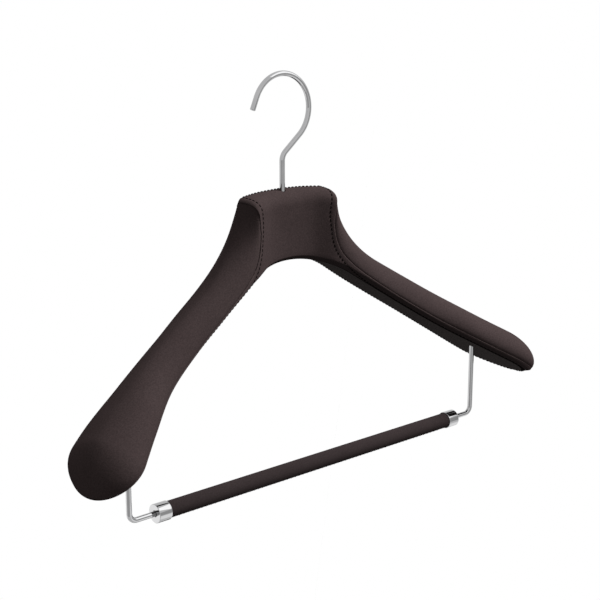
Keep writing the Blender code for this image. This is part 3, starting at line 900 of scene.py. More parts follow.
def lathed(profile: Sequence[PointPair], centre: PointPair, sides: int, way: float = 1.0) -> Shape:
    """Solid turned about X from a closed outline.

    Args:
        profile: Corners of the outline, as distance along X and radius.
        centre: The axis's place along Y and Z.
        sides: Faces round the solid.
        way: 1 to lay the outline along +X, -1 along -X.

    Returns:
        The points and the faces.
    """
    turn = np.linspace(0, 2 * pi, sides, endpoint=False)
    points = []
    for along, radius in profile:
        points += [about_x(centre, way * along, radius, t) for t in turn]
    faces = []
    count = len(profile)
    for i in range(count):
        for j in range(sides):
            k, n = (j + 1) % sides, (i + 1) % count
            corners = [i * sides + j, i * sides + k, n * sides + k, n * sides + j]
            faces.append(corners if way > 0 else corners[::-1])
    return np.array(points), faces


def rounded(corners: Sequence[PointPair], radius: float, steps: int, most: float = 0.45) -> list[PointPair]:
    """Closed outline with its corners rounded.

    Args:
        corners: The outline's corners.
        radius: How far from a corner the rounding starts.
        steps: Points in each rounding.
        most: Largest share of a side that a rounding takes.

    Returns:
        The rounded outline.
    """
    line = []
    count = len(corners)
    for i, here in enumerate(corners):
        spot = np.array(here, float)
        before = np.array(corners[i - 1], float) - spot
        after = np.array(corners[(i + 1) % count], float) - spot
        start = spot + before / np.linalg.norm(before) * min(radius, np.linalg.norm(before) * most)
        end = spot + after / np.linalg.norm(after) * min(radius, np.linalg.norm(after) * most)
        for t in np.linspace(0, 1, steps + 1):
            point = (1 - t) ** 2 * start + 2 * t * (1 - t) * spot + t * t * end
            line.append((float(point[0]), float(point[1])))
    return line


def distances(points: np.ndarray, lines: Sequence[np.ndarray], spacing: float = 0.2 * MM) -> np.ndarray:
    """Distance from each point to the nearest of some lines.

    Args:
        points: The points.
        lines: The lines, as points in order.
        spacing: How close together the lines are sampled.

    Returns:
        A distance for each point.
    """
    marks = []
    for line in lines:
        length = np.concatenate([[0], np.cumsum(np.linalg.norm(np.diff(line, axis=0), axis=1))])
        count = max(2, int(length[-1] / spacing))
        at = np.linspace(0, length[-1], count)
        marks.append(np.stack([np.interp(at, length, line[:, i]) for i in range(3)], -1))
    every = np.concatenate(marks)
    tree = KDTree(len(every))
    for i, mark in enumerate(every):
        tree.insert(mark, i)
    tree.balance()
    return np.array([tree.find(point)[2] for point in points])


def bored(piece: bpy.types.Object, spot: Vector, radius: float, depth: float, sides: int = 28) -> None:
    """Drill an upright hole through a piece, and weld points that the cut leaves on one spot.

    Args:
        piece: The piece.
        spot: Middle of the hole.
        radius: The hole's radius.
        depth: How far the drill reaches to either side.
        sides: Faces round the hole.
    """
    height = np.array([[spot.x, spot.y, spot.z - depth], [spot.x, spot.y, spot.z + depth]])
    points, faces = swept(height, np.full(2, radius), Vector((0, 1, 0)), sides)
    mesh = bpy.data.meshes.new("drill")
    mesh.from_pydata(points.tolist(), [], faces)
    drill = placed("drill", mesh)
    step = piece.modifiers.new("hole", "BOOLEAN")
    step.operation = "DIFFERENCE"
    step.solver = "EXACT"
    step.object = drill
    bpy.context.view_layer.update()
    ready = piece.evaluated_get(bpy.context.evaluated_depsgraph_get())
    done = bpy.data.meshes.new_from_object(ready)
    welded = bmesh.new()
    welded.from_mesh(done)
    bmesh.ops.remove_doubles(welded, verts=welded.verts[:], dist=Skin.WELD)
    welded.to_mesh(done)
    welded.free()
    piece.modifiers.clear()
    piece.data = done
    bpy.data.objects.remove(drill, do_unlink=True)


# Finishes


class NodeSheet:
    """Nodes of one finish, with short calls to add and join them."""

    def __init__(self, name: str) -> None:
        """Start a material with its shader and its place on the object.

        Args:
            name: The material's name.
        """
        self.material = bpy.data.materials.new(name)
        self.material.use_nodes = True
        self.tree = self.material.node_tree
        self.shader = self.tree.nodes["Principled BSDF"]
        self.place = self.tree.nodes.new("ShaderNodeTexCoord").outputs["Object"]

    def feed(self, socket: bpy.types.NodeSocket, value: object) -> None:
        """Link a socket to another, or set its value.

        Args:
            socket: The socket that gets the value.
            value: Another socket, or the value itself.
        """
        if isinstance(value, bpy.types.NodeSocket):
            self.tree.links.new(value, socket)
        else:
            socket.default_value = value

    def set(self, **values: object) -> None:
        """Set the shader's sockets by name, with _ for a space."""
        for name, value in values.items():
            self.feed(self.shader.inputs[name.replace("_", " ")], value)

    def stretched(self, x: float, y: float, z: float) -> bpy.types.NodeSocket:
        """Place on the object, scaled along each axis.

        Args:
            x: Scale along X.
            y: Scale along Y.
            z: Scale along Z.

        Returns:
            The place's socket.
        """
        node = self.tree.nodes.new("ShaderNodeMapping")
        self.feed(node.inputs["Vector"], self.place)
        node.inputs["Scale"].default_value = (x, y, z)
        return node.outputs["Vector"]

    def noise(self, scale: float, detail: float = 3.0, place: Optional[bpy.types.NodeSocket] = None,
              distortion: float = 0.0) -> bpy.types.NodeSocket:
        """Cloudy value from 0 to 1.

        Args:
            scale: Clouds per metre.
            detail: Finer layers in them.
            place: Where on the object, if scaled.
            distortion: How much they swirl.

        Returns:
            The value's socket.
        """
        node = self.tree.nodes.new("ShaderNodeTexNoise")
        self.feed(node.inputs["Vector"], place or self.place)
        node.inputs["Scale"].default_value = scale
        node.inputs["Detail"].default_value = detail
        node.inputs["Distortion"].default_value = distortion
        return node.outputs["Fac"]

    def pebbles(self, scale: float, feature: str = "F1") -> bpy.types.NodeSocket:
        """Distance in a field of cells, for grain.

        Args:
            scale: Cells per metre.
            feature: Which distance.

        Returns:
            The value's socket.
        """
        node = self.tree.nodes.new("ShaderNodeTexVoronoi")
        node.feature = feature
        self.feed(node.inputs["Vector"], self.place)
        node.inputs["Scale"].default_value = scale
        return node.outputs["Distance"]

    def attribute(self, name: str) -> bpy.types.NodeSocket:
        """Value that the mesh carries at its points.

        Args:
            name: The value's name.

        Returns:
            The value's socket.
        """
        node = self.tree.nodes.new("ShaderNodeAttribute")
        node.attribute_name = name
        return node.outputs["Fac"]

    def ranged(self, value: bpy.types.NodeSocket, low: float, high: float,
               start: float = 0.0, end: float = 1.0) -> bpy.types.NodeSocket:
        """Value carried over to another range.

        Args:
            value: The value.
            low: Result at start.
            high: Result at end.
            start: Value that gives low.
            end: Value that gives high.

        Returns:
            The new value's socket.
        """
        node = self.tree.nodes.new("ShaderNodeMapRange")
        self.feed(node.inputs["Value"], value)
        for name, number in zip(("From Min", "From Max", "To Min", "To Max"), (start, end, low, high)):
            node.inputs[name].default_value = number
        return node.outputs["Result"]

    def math(self, kind: str, first: object, second: object) -> bpy.types.NodeSocket:
        """Sum, product or the like of two values.

        Args:
            kind: The operation, in capitals.
            first: First value, or its socket.
            second: Second value, or its socket.

        Returns:
            The result's socket.
        """
        node = self.tree.nodes.new("ShaderNodeMath")
        node.operation = kind
        self.feed(node.inputs[0], first)
        self.feed(node.inputs[1], second)
        return node.outputs[0]

    def colours(self, part: bpy.types.NodeSocket, low: object, high: object) -> bpy.types.NodeSocket:
        """Colour between two others.

        Args:
            part: Share of the second.
            low: First colour, or its socket.
            high: Second colour, or its socket.

        Returns:
            The colour's socket.
        """
        node = self.tree.nodes.new("ShaderNodeMix")
        node.data_type = "RGBA"
        self.feed(node.inputs[0], part)
        for index, colour in ((6, low), (7, high)):
            self.feed(node.inputs[index], (*colour, 1.0) if isinstance(colour, tuple) else colour)
        return node.outputs[2]

    def bump(self, height: bpy.types.NodeSocket, distance: float, strength: float = 1.0,
             under: Optional[bpy.types.NodeSocket] = None) -> bpy.types.NodeSocket:
        """Normal that follows a height.

        Args:
            height: The height's socket, 0 to 1.
            distance: How deep the full height is.
            strength: Share of it that shows.
            under: Normal of coarser bumps.

        Returns:
            The normal's socket.
        """
        node = self.tree.nodes.new("ShaderNodeBump")
        node.inputs["Strength"].default_value = strength
        node.inputs["Distance"].default_value = distance
        self.feed(node.inputs["Height"], height)
        if under:
            self.feed(node.inputs["Normal"], under)
        return node.outputs["Normal"]


@dataclass(frozen=True)
class LeatherFinish:
    """Smooth dark calf leather with a fine grain, softly polished edges and painted shade on its bevelled
    band.
    """

    name: str = "fine_dark_leather"
    deep: Colour = (0.074, 0.053, 0.053)
    plain: Colour = (0.088, 0.064, 0.064)
    worn: Colour = (0.125, 0.094, 0.092)
    # edge is the colour of the dark specks, and also of the painted shade over the bevelled band and of the
    # darker strip along the underside's edges.
    edge: Colour = (0.045, 0.034, 0.034)
    gloss: float = 0.0
    clouds: float = 26.0
    rubs: float = 90.0
    sheen: float = 150.0
    creases: float = 210.0
    specks: float = 950.0
    pores: float = 1150.0
    fibres: float = 2600.0

    def material(self) -> bpy.types.Material:
        """Leather with grain, pores, patchy dye and worn edges, where a mark on the mesh also darkens the
        bevelled band as painted shade and darkens a strip along the underside's edges.

        Returns:
            The material.
        """
        sheet = NodeSheet(self.name)
        tone_and_shade = sheet.ranged(sheet.noise(self.clouds, 5, distortion=0.6), 0, 1, 0.3, 0.7)
        base = sheet.colours(tone_and_shade, self.deep, self.plain)
        grain = sheet.pebbles(self.pores, "SMOOTH_F1")
        fibre = sheet.noise(self.fibres, 4)
        fleck = sheet.ranged(fibre, 0.0, 0.5, 0.45, 0.75)
        flecked = sheet.colours(fleck, base, self.worn)
        speck = sheet.ranged(sheet.noise(self.specks, 2), 0.0, 0.5, 0.35, 0.65)
        specked = sheet.colours(speck, flecked, self.edge)
        worn = sheet.math("MULTIPLY", sheet.attribute("wear"), sheet.noise(self.rubs, 4))
        lifted = sheet.colours(worn, specked, self.worn)
        # Painted shade: the mesh's second mark pulls the colour towards the edge colour over the bevelled
        # band, and along a narrow strip at the underside's edges.
        colour = sheet.colours(sheet.attribute("tone_and_shade"), lifted, self.edge)
        rough = sheet.ranged(sheet.noise(self.sheen, 4), 0.43, 0.55)
        creases = sheet.bump(sheet.noise(self.creases, 5, distortion=0.8), 0.1 * MM, 0.35)
        pebble = sheet.bump(grain, 0.09 * MM, 0.55, creases)
        fine = sheet.bump(fibre, 0.03 * MM, 0.5, pebble)
        sheet.set(Base_Color=colour, Roughness=rough, Normal=fine, Specular_IOR_Level=self.gloss)
        return sheet.material


@dataclass(frozen=True)
class ThreadFinish:
    """Waxed thread, nearly black, with a twist."""

    name: str = "waxed_thread"
    dark: Colour = (0.006, 0.005, 0.005)
    light: Colour = (0.018, 0.015, 0.014)
    strands: float = 3200.0

    def material(self) -> bpy.types.Material:
        """Thread with fine fibres.

        Returns:
            The material.
        """
        sheet = NodeSheet(self.name)
        strands = sheet.noise(self.strands, 3)
        sheet.set(
            Base_Color=sheet.colours(strands, self.dark, self.light),
            Roughness=sheet.ranged(strands, 0.5, 0.7),
            Normal=sheet.bump(strands, 0.06 * MM, 0.8),
            Specular_IOR_Level=0.0,
        )
        return sheet.material


@dataclass(frozen=True)
class ChromeFinish:
    """Bright chrome plate with a faint haze of handling."""

    name: str = "polished_chrome"
    bright: Colour = (0.44, 0.44, 0.445)
    hazed: Colour = (0.39, 0.39, 0.395)
    smooth: float = 0.035
    rough: float = 0.08
    handling: float = 70.0
    hairlines: float = 900.0

    def material(self) -> bpy.types.Material:
        """Chrome with uneven gloss and hairline marks.

        Returns:
            The material.
        """
        sheet = NodeSheet(self.name)
        haze = sheet.ranged(sheet.noise(self.handling, 5, distortion=0.4), 0, 1, 0.35, 0.75)
        marks = sheet.noise(self.hairlines, 3, sheet.stretched(1, 1, 0.08))
        rough = sheet.ranged(haze, self.smooth, self.rough)
        sheet.set(
            Base_Color=sheet.colours(haze, self.bright, self.hazed),
            Roughness=sheet.math("ADD", rough, sheet.ranged(marks, -0.01, 0.02)),
            Normal=sheet.bump(marks, 0.002 * MM, 0.2),
            Metallic=1.0,
        )
        return sheet.material


@dataclass(frozen=True)
class TurnedMetalFinish:
    """Machined metal with fine tool marks and a little tarnish."""

    name: str
    clean: Colour
    dull: Colour
    rough: float = 0.3
    tarnish: float = 160.0
    tool_marks: float = 2400.0

    def material(self) -> bpy.types.Material:
        """Metal with tool marks.

        Returns:
            The material.
        """
        sheet = NodeSheet(self.name)
        cloud = sheet.noise(self.tarnish, 5)
        marks = sheet.noise(self.tool_marks, 2, sheet.stretched(0.1, 0.1, 1))
        sheet.set(
            Base_Color=sheet.colours(sheet.ranged(cloud, 0, 1, 0.35, 0.7), self.clean, self.dull),
            Roughness=sheet.ranged(marks, self.rough - 0.08, self.rough + 0.12),
            Normal=sheet.bump(marks, 0.02 * MM, 0.4),
            Metallic=1.0,
        )
        return sheet.material


@dataclass(frozen=True)
class BeechFinish:
    """Sanded beech with its grain along the hanger and small brown flecks."""

    name: str = "sanded_beech"
    pale: Colour = (0.56, 0.37, 0.21)
    dark: Colour = (0.36, 0.21, 0.11)
    rings: float = 120.0
    flecks: float = 900.0

    def material(self) -> bpy.types.Material:
        """Wood with rings, flecks and pores.

        Returns:
            The material.
        """
        sheet = NodeSheet(self.name)
        rings = sheet.noise(self.rings, 6, sheet.stretched(0.12, 1, 1), 1.5)
        flecks = sheet.noise(self.flecks, 2, sheet.stretched(0.15, 1, 1))
        spots = sheet.ranged(flecks, 0, 0.7, 0.58, 0.72)
        wood = sheet.colours(sheet.ranged(rings, 0, 1, 0.35, 0.65), self.pale, self.dark)
        sheet.set(
            Base_Color=sheet.colours(spots, wood, self.dark),
            Roughness=sheet.ranged(rings, 0.5, 0.68),
            Normal=sheet.bump(flecks, 0.08 * MM, 0.5),
        )
        return sheet.material


@dataclass(frozen=True)
class NylonFinish:
    """Moulded natural nylon with a faintly matt skin."""

    name: str = "moulded_nylon"
    pale: Colour = (0.74, 0.73, 0.69)
    warm: Colour = (0.62, 0.6, 0.54)
    flow: float = 300.0
    skin: float = 2500.0

    def material(self) -> bpy.types.Material:
        """Nylon with flow marks.

        Returns:
            The material.
        """
        sheet = NodeSheet(self.name)
        flow = sheet.noise(self.flow, 4, distortion=1.0)
        sheet.set(
            Base_Color=sheet.colours(flow, self.pale, self.warm),
            Roughness=sheet.ranged(flow, 0.35, 0.5),
            Normal=sheet.bump(sheet.noise(self.skin, 2), 0.02 * MM, 0.4),
        )
        return sheet.material


class FinishShelf:
    """Every finish of the hanger, made once."""

    def __init__(self) -> None:
        """Make the materials."""
        self.leather = LeatherFinish().material()
        # Painted light: the underside gets a lighter, greyer copy of the body leather, standing in for the
        # bounce light it gets from below; its last colour darkens the strip along its edges.
        self.underside = LeatherFinish(
            "underside_leather", (0.094, 0.082, 0.081), (0.11, 0.096, 0.094), (0.15, 0.13, 0.127),
            (0.012, 0.01, 0.01)).material()
        self.sleeve = LeatherFinish(
            "sleeve_leather", (0.05, 0.038, 0.039), (0.059, 0.045, 0.046), (0.088, 0.069, 0.07),
            (0.038, 0.029, 0.029)).material()
        self.thread = ThreadFinish().material()
        self.chrome = ChromeFinish().material()
        self.brass = TurnedMetalFinish("turned_brass", (0.72, 0.52, 0.24), (0.5, 0.36, 0.18)).material()
        self.steel = TurnedMetalFinish("zinc_steel", (0.56, 0.56, 0.57), (0.4, 0.4, 0.4), 0.36).material()
        self.aluminium = TurnedMetalFinish(
            "drawn_aluminium", (0.7, 0.71, 0.72), (0.58, 0.59, 0.6), 0.4).material()
        self.beech = BeechFinish().material()
        self.nylon = NylonFinish().material()


def rectangle(name: str, width: float, height: float, z: float = 0.0) -> bpy.types.Mesh:
    """Flat mesh with one face.

    Args:
        name: Its name.
        width: Its width along X.
        height: Its height along Y.
        z: How high it lies.

    Returns:
        The mesh.
    """
    x, y = width / 2, height / 2
    mesh = bpy.data.meshes.new(name)
    mesh.from_pydata([(-x, -y, z), (x, -y, z), (x, y, z), (-x, y, z)], [], [(0, 1, 2, 3)])
    return mesh


def dress(node: str, finish: bpy.types.Material) -> None:
    """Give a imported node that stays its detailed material.

    Args:
        node: The node's name.
        finish: Its material.
    """
    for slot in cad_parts[node].material_slots:
        slot.material = finish
    LOG.info("%s: packed node in %s", node, finish.name)


# Leather body


@dataclass
class StitchRun:
    """Row of stitches along a line on the leather.

    Args:
        line: Points of the line on the outer form.
        normal: Outward direction at each of them.
        start: Where the first stitch begins along the line.
        pitch: From the start of one stitch to that of the next.
        length: A stitch's length.
        thread: The thread's radius.
        crown: How far its middle stands over the line.
        sink: How far its ends dive under that.
    """

    line: np.ndarray
    normal: np.ndarray
    start: float = 0.6 * MM
    pitch: float = 3.4 * MM
    length: float = 2.35 * MM
    thread: float = 0.4 * MM
    crown: float = 0.0
    sink: float = 0.5 * MM

    RINGS = 7
    SIDES = 8

    def meshes(self) -> tuple[list[np.ndarray], list[list[int]]]:
        """Points and faces of every stitch, each one a closed bent pin.

        Returns:
            A block of points for each stitch, and the faces of all.
        """
        step = np.linalg.norm(np.diff(self.line, axis=0), axis=1)
        run = np.concatenate([[0], np.cumsum(step)])
        points, faces = [], []
        at = self.start
        while at + self.length < run[-1]:
            ring, sides = self.pin(run, at)
            base = sum(len(block) for block in points)
            points.append(ring)
            faces += [[base + i for i in corners] for corners in sides]
            at += self.pitch
        return points, faces

    def pin(self, run: np.ndarray, at: float) -> Shape:
        """One stitch: a short thread that dives into the leather at both ends.

        Args:
            run: Distance of each point along the line.
            at: Where the stitch begins.

        Returns:
            The points and the faces.
        """
        part = np.linspace(0, 1, self.RINGS)
        where = at + self.length * part
        spot = np.stack([np.interp(where, run, self.line[:, i]) for i in range(3)], -1)
        out = np.stack([np.interp(where, run, self.normal[:, i]) for i in range(3)], -1)
        out /= np.linalg.norm(out, axis=1, keepdims=True)
        dive = np.abs(2 * part - 1) ** 4
        spot = spot + out * (self.crown - self.sink * dive)[:, None]
        along = np.gradient(spot, axis=0)
        along /= np.linalg.norm(along, axis=1, keepdims=True)
        side = np.cross(along, out)
        side /= np.linalg.norm(side, axis=1, keepdims=True)
        up = np.cross(side, along)
        radius = self.thread * (1 - 0.35 * dive)
        return rod(spot, radius, up, side[:, None], self.SIDES)

    def mirrored(self) -> "StitchRun":
        """The same row on the other half."""
        return StitchRun(self.line * MIRROR, self.normal * MIRROR)


def joined(rows: Sequence[StitchRun]) -> Shape:
    """Stitches of some rows as one shape.

    Args:
        rows: The rows.

    Returns:
        The points and the faces.
    """
    points, faces, count = [], [], 0
    for row in rows:
        blocks, sides = row.meshes()
        points += blocks
        faces += [[count + i for i in corners] for corners in sides]
        count += sum(len(block) for block in blocks)
    return np.concatenate(points), faces


@dataclass
class LeatherBody:
    """Leather panels of the body and the stitching that holds them."""

    form: ShoulderForm
    shelf: FinishShelf
    thickness: float = 1.2 * MM
    wrap: float = 4.4 * MM
    edge_round: float = 0.5 * MM
    lap_raise: float = 0.24 * MM
    lap_reach: float = 2.2 * MM
    tuck_depth: float = 0.75 * MM
    tuck_reach: float = 0.75 * MM
    stitch_groove: float = 0.25 * MM
    # Reaches of the darkening mark: painted shade over the band up to its knee, and a darker strip along
    # the underside's edges.
    band_shade_reach: PointPair = (4.7 * MM, 5.1 * MM)
    edge_strip_reach: PointPair = (1.5 * MM, 2.1 * MM)
    edge_row: float = -0.75 * MM
    edge_crown: float = -0.12 * MM
    edge_thread: float = 0.5 * MM
    edge_length: float = 3.0 * MM
    crest_gap: float = 0.5 * MM
    crest_thread: float = 0.5 * MM
    crest_crown: float = 0.1 * MM
    stitch_reach: float = 0.7 * MM
    lap_wear: float = 0.8 * MM
    butt_wear: float = 0.6 * MM
    butt_share: float = 0.7
    stem_hole: float = 2.4 * MM
    stem_drill: float = 5 * MM
    wire_hole: float = 2.25 * MM
    wire_drill: float = 4 * MM
    wire_spot: PointPair = (173.5 * MM, -41.3 * MM)
    front_stitches: tuple[PointPair, ...] = (
        (38.2, 47), (38.8, 38), (40.8, 31), (44.6, 24), (50.5, 17.4), (58, 12.2),
        (67, 8.2), (78, 5), (90, 2.8), (105, 1.2), (125, 0.45))
    back_gap: PointPair = (4.6, 5.5)
    back_stitches: tuple[PointPair, ...] = (
        (0, 38), (0.6, 31), (3.4, 24), (7.4, 17), (12.6, 11), (20, 6.5))
    edge_steps: tuple[float, ...] = (0, 0.08, 0.2, 0.38, 0.6, 0.9, 1.3, 1.8, 2.4)
    neck_steps: tuple[float, ...] = (3.0, 3.5, 3.95, 4.4, 4.85, 5.4, 6.2, 7.4, 9.0)
    arm_steps: tuple[float, ...] = (3.2, 4, 5)
    band_steps: tuple[float, ...] = (3.1, 3.8, 4.3)
    wrap_steps: tuple[float, ...] = (0, 0.08, 0.2, 0.38, 0.6, 0.9, 1.3, 1.9, 2.6, 3.3, 3.9)
    wall_steps: tuple[float, ...] = (
        0.9, 0.8, 0.7, 0.6, 0.5, 0.4, 0.3, 0.22, 0.15, 0.1, 0.06, 0.035, 0.018, 0.007, 0)
    tip_steps: tuple[float, ...] = (0, 0.0025, 0.006, 0.011, 0.017, 0.026, 0.04, 0.06)
    knee_end: float = 5.6 * MM
    knee_gap: float = 0.12 * MM
    corner_zone: float = 11 * MM

    def __post_init__(self) -> None:
        """Lay out the rows and columns of the panels' grids."""
        corner = self.form.corner_end
        near = np.array(self.edge_steps + self.neck_steps) * MM
        self.neck_rows = np.concatenate(
            [np.linspace(0, corner - self.corner_zone, 17), corner - near[::-1]])
        near = np.array(self.edge_steps + self.arm_steps) * MM
        self.arm_rows = np.concatenate([
            corner + near,
            np.arange(corner + 6 * MM, corner + 34 * MM, 1 * MM),
            np.linspace(corner + 35 * MM, self.form.sweep_end, 18),
            np.linspace(self.form.sweep_end, self.form.crest_end, 48)[1:],
        ])
        steps = np.array(self.tip_steps)
        half = np.concatenate([np.linspace(-pi / 2, -0.09, 24), -steps[::-1]])
        self.front_angles = half
        self.back_angles = -half[::-1]
        self.fields: dict[Face, NormalField] = {}

    # Columns of the grids

    def band_columns(self, seam: float) -> np.ndarray:
        """Runs of the lines from the band's lower edge up to the seam.

        Args:
            seam: Run of the seam.

        Returns:
            The runs, upwards.
        """
        near = np.array(self.edge_steps + self.band_steps) * MM
        knee = np.linspace(near[-1], min(self.knee_end, seam - self.knee_gap), 6)[1:]
        low = np.concatenate([near, knee])
        return np.concatenate([low, low[-1] + (seam - low[-1]) * (1 - np.array(self.wall_steps))])

    def crown_columns(self, seam: float, crest: float, top_gap: float = 0.0) -> np.ndarray:
        """Runs of the lines from the seam up to the crest, or to a gap under it.

        Args:
            seam: Run of the seam.
            crest: Run of the crest.
            top_gap: The gap under the crest.

        Returns:
            The runs, upwards.
        """
        low = seam + np.array(self.edge_steps) * MM
        high = crest - top_gap
        part = np.linspace(0, 1, 26)[1:]
        if not top_gap:
            return np.concatenate([low, low[-1] + (high - low[-1]) * part])
        fine = high - np.array(self.edge_steps[::-1]) * MM
        part = np.linspace(0, 1, 18)[1:-1]
        return np.concatenate([low, low[-1] + (fine[0] - low[-1]) * part, fine])

    def seam_run(self, path: FacePath, distance: float) -> float:
        """Run of the long seam on a face."""
        return path.run_at(self.form.seam_height(distance))

    # Patches of the right half

    def patch(self, face: Face, rows: np.ndarray,
              columns: Callable[[FacePath, float], np.ndarray]) -> Patch:
        """Patch on one face.

        Args:
            face: Front or back.
            rows: Distances along the crest.
            columns: Gives the runs of the lines, from a face's outline and its distance.

        Returns:
            The patch.
        """
        grid = []
        for distance in rows:
            path = self.form.section(float(distance)).path(face)
            grid.append(self.form.row(face, float(distance), columns(path, float(distance))))
        return Patch(np.array(grid), face is Face.BACK)

    def tip_patch(self, angles: np.ndarray, columns: Callable[[FacePath, float], np.ndarray]) -> Patch:
        """Patch on the rounded end.

        Args:
            angles: Turns round the end, front to back.
            columns: Gives the runs of the lines.

        Returns:
            The patch.
        """
        section = self.form.section(self.form.crest_end)
        grid = []
        for angle in angles:
            path = section.tip_path(float(angle))
            runs = columns(path, self.form.crest_end)
            grid.append(section.tip_points(path, float(angle), runs))
        return Patch(np.array(grid))

    def band(self, path: FacePath, distance: float) -> np.ndarray:
        """Lines of the band and the wall up to the seam."""
        return self.band_columns(self.seam_run(path, distance))

    def crown(self, path: FacePath, distance: float) -> np.ndarray:
        """Lines from the seam to the crest."""
        return self.crown_columns(self.seam_run(path, distance), path.length)

    def crown_under_wrap(self, path: FacePath, distance: float) -> np.ndarray:
        """Lines from the seam to the edge that wraps over the crest."""
        return self.crown_columns(self.seam_run(path, distance), path.length, self.wrap)

    def wrapped(self, path: FacePath, _: float) -> np.ndarray:
        """Lines of the front panel behind the crest, which are the same at every distance."""
        near = np.array(self.wrap_steps) * MM
        return np.concatenate([path.length - self.wrap + near, [path.length]])

    def sole(self, path: FacePath, distance: float) -> np.ndarray:
        """Lines of the underside from the band's edge to the middle, as runs below zero.

        Args:
            path: The face's outline.
            distance: The row's distance along the crest.

        Returns:
            The runs, upwards.
        """
        edge = path.across[0]
        section = self.form.section(distance)
        width = abs(section.middle - edge)
        near = -np.array(self.edge_steps) * MM
        part = np.linspace(0, 1, 8)[1:]
        return np.concatenate([near, near[-1] - (width + near[-1]) * part])[::-1]

    # Panels

    def panel(self, name: str, patches: Sequence[Patch], laps: Sequence[np.ndarray],
              tucks: Sequence[np.ndarray], butts: Sequence[np.ndarray],
              rows: Sequence[StitchRun],
              finish: Optional[bpy.types.Material] = None) -> bpy.types.Object:
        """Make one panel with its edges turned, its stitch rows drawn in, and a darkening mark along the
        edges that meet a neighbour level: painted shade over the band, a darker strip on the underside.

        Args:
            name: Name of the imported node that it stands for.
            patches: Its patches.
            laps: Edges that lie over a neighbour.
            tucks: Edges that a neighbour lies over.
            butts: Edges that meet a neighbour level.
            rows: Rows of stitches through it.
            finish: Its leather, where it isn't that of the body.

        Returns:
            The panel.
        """
        skin = Skin(patches)
        raised = np.zeros(len(skin.points))
        wear = np.zeros(len(skin.points))
        tone_and_shade = np.zeros(len(skin.points))
        if laps:
            away = distances(skin.points, laps)
            raised += self.lap_raise * np.exp(-(away / self.lap_reach) ** 2)
            raised -= self.turned_edge(away)
            wear = np.maximum(wear, np.exp(-away / self.lap_wear))
        if tucks:
            raised -= self.tuck_depth * np.exp(-distances(skin.points, tucks) / self.tuck_reach)
        if butts:
            away = distances(skin.points, butts)
            raised -= self.turned_edge(away)
            wear = np.maximum(wear, self.butt_share * np.exp(-away / self.butt_wear))
            # Painted shade: panels that lap their neighbours are darkened over the whole band, as if it lay
            # in shade; the underside is darkened in a strip along its edges.
            start, end = self.band_shade_reach if laps else self.edge_strip_reach
            tone_and_shade = ease(np.clip((end - away) / (end - start), 0, 1))
        if rows:
            away = distances(skin.points, [row.line for row in rows])
            raised -= self.stitch_groove * np.exp(-(away / self.stitch_reach) ** 2)
        points, faces = skin.solid(raised, self.thickness)
        piece = add_piece(
            f"{name}_leather", points, faces, finish or self.shelf.leather,
            Part.HANGER, [name])
        # wear marks real rubbing; the second mark carries the painted shade over the band and the
        # underside's darker edge strip.
        for label, amount in (("wear", wear), ("tone_and_shade", tone_and_shade)):
            mark = piece.data.attributes.new(label, "FLOAT", "POINT")
            mark.data.foreach_set("value", np.concatenate([amount, amount]).astype(np.float32))
        return piece

    def turned_edge(self, away: np.ndarray) -> np.ndarray:
        """How far a turned edge has dropped at a distance from it."""
        part = np.clip(1 - away / self.edge_round, 0, 1)
        return self.edge_round * (1 - np.sqrt(1 - part ** 2))

    def seam_lines(self, face: Face) -> list[np.ndarray]:
        """The long seam of a face on both halves, from the crest down and out to the tip's end.

        Args:
            face: Front or back.

        Returns:
            The right half's line and the left half's.
        """
        corner = self.form.corner_end
        path = self.form.section(corner).path(face)
        down = np.linspace(path.length, self.seam_run(path, corner), 60)
        line = [self.form.row(face, corner, down)]
        for distance in np.linspace(corner, self.form.crest_end, 160)[1:]:
            path = self.form.section(float(distance)).path(face)
            run = self.seam_run(path, float(distance))
            line.append(self.form.spot(face, float(distance), run)[None])
        line.append(self.tip_line(face, lambda path: self.seam_run(path, self.form.crest_end)))
        right = np.concatenate(line)
        return [right, right * MIRROR]

    def tip_line(self, face: Face, run: Callable[[FacePath], float]) -> np.ndarray:
        """Line round a face's half of the tip at a run.

        Args:
            face: Front or back.
            run: Gives the run, from an outline.

        Returns:
            The line's points.
        """
        section = self.form.section(self.form.crest_end)
        angles = self.front_angles if face is Face.FRONT else self.back_angles[::-1]
        line = []
        for angle in angles:
            path = section.tip_path(float(angle))
            line.append(section.tip_points(path, float(angle), np.array([run(path)])))
        return np.concatenate(line)

    def edge_lines(self, face: Face) -> list[np.ndarray]:
        """The band's lower edge of a face, and its joint at the tip, on both halves.

        Args:
            face: Front or back.

        Returns:
            Both edges, then both joints.
        """
        rows = np.linspace(0, self.form.crest_end, 200)
        line = [self.form.spot(face, float(distance), 0.0) for distance in rows]
        right = np.concatenate([np.array(line), self.tip_line(face, lambda path: 0.0)])
        section = self.form.section(self.form.crest_end)
        path = section.tip_path(0.0)
        up = np.linspace(0, self.seam_run(path, self.form.crest_end), 30)
        joint = section.tip_points(path, 0.0, up)
        return [right, right * MIRROR, joint, joint * MIRROR]

    def wrap_line(self) -> np.ndarray:
        """Back edge of the front panel, behind the crest, over both halves.

        Returns:
            The line's points.
        """
        line = []
        for distance in self.neck_rows:
            path = self.form.section(float(distance)).path(Face.BACK)
            line.append(self.form.spot(Face.BACK, float(distance), path.length - self.wrap))
        right = np.array(line)
        return np.concatenate([right[::-1], right * MIRROR])

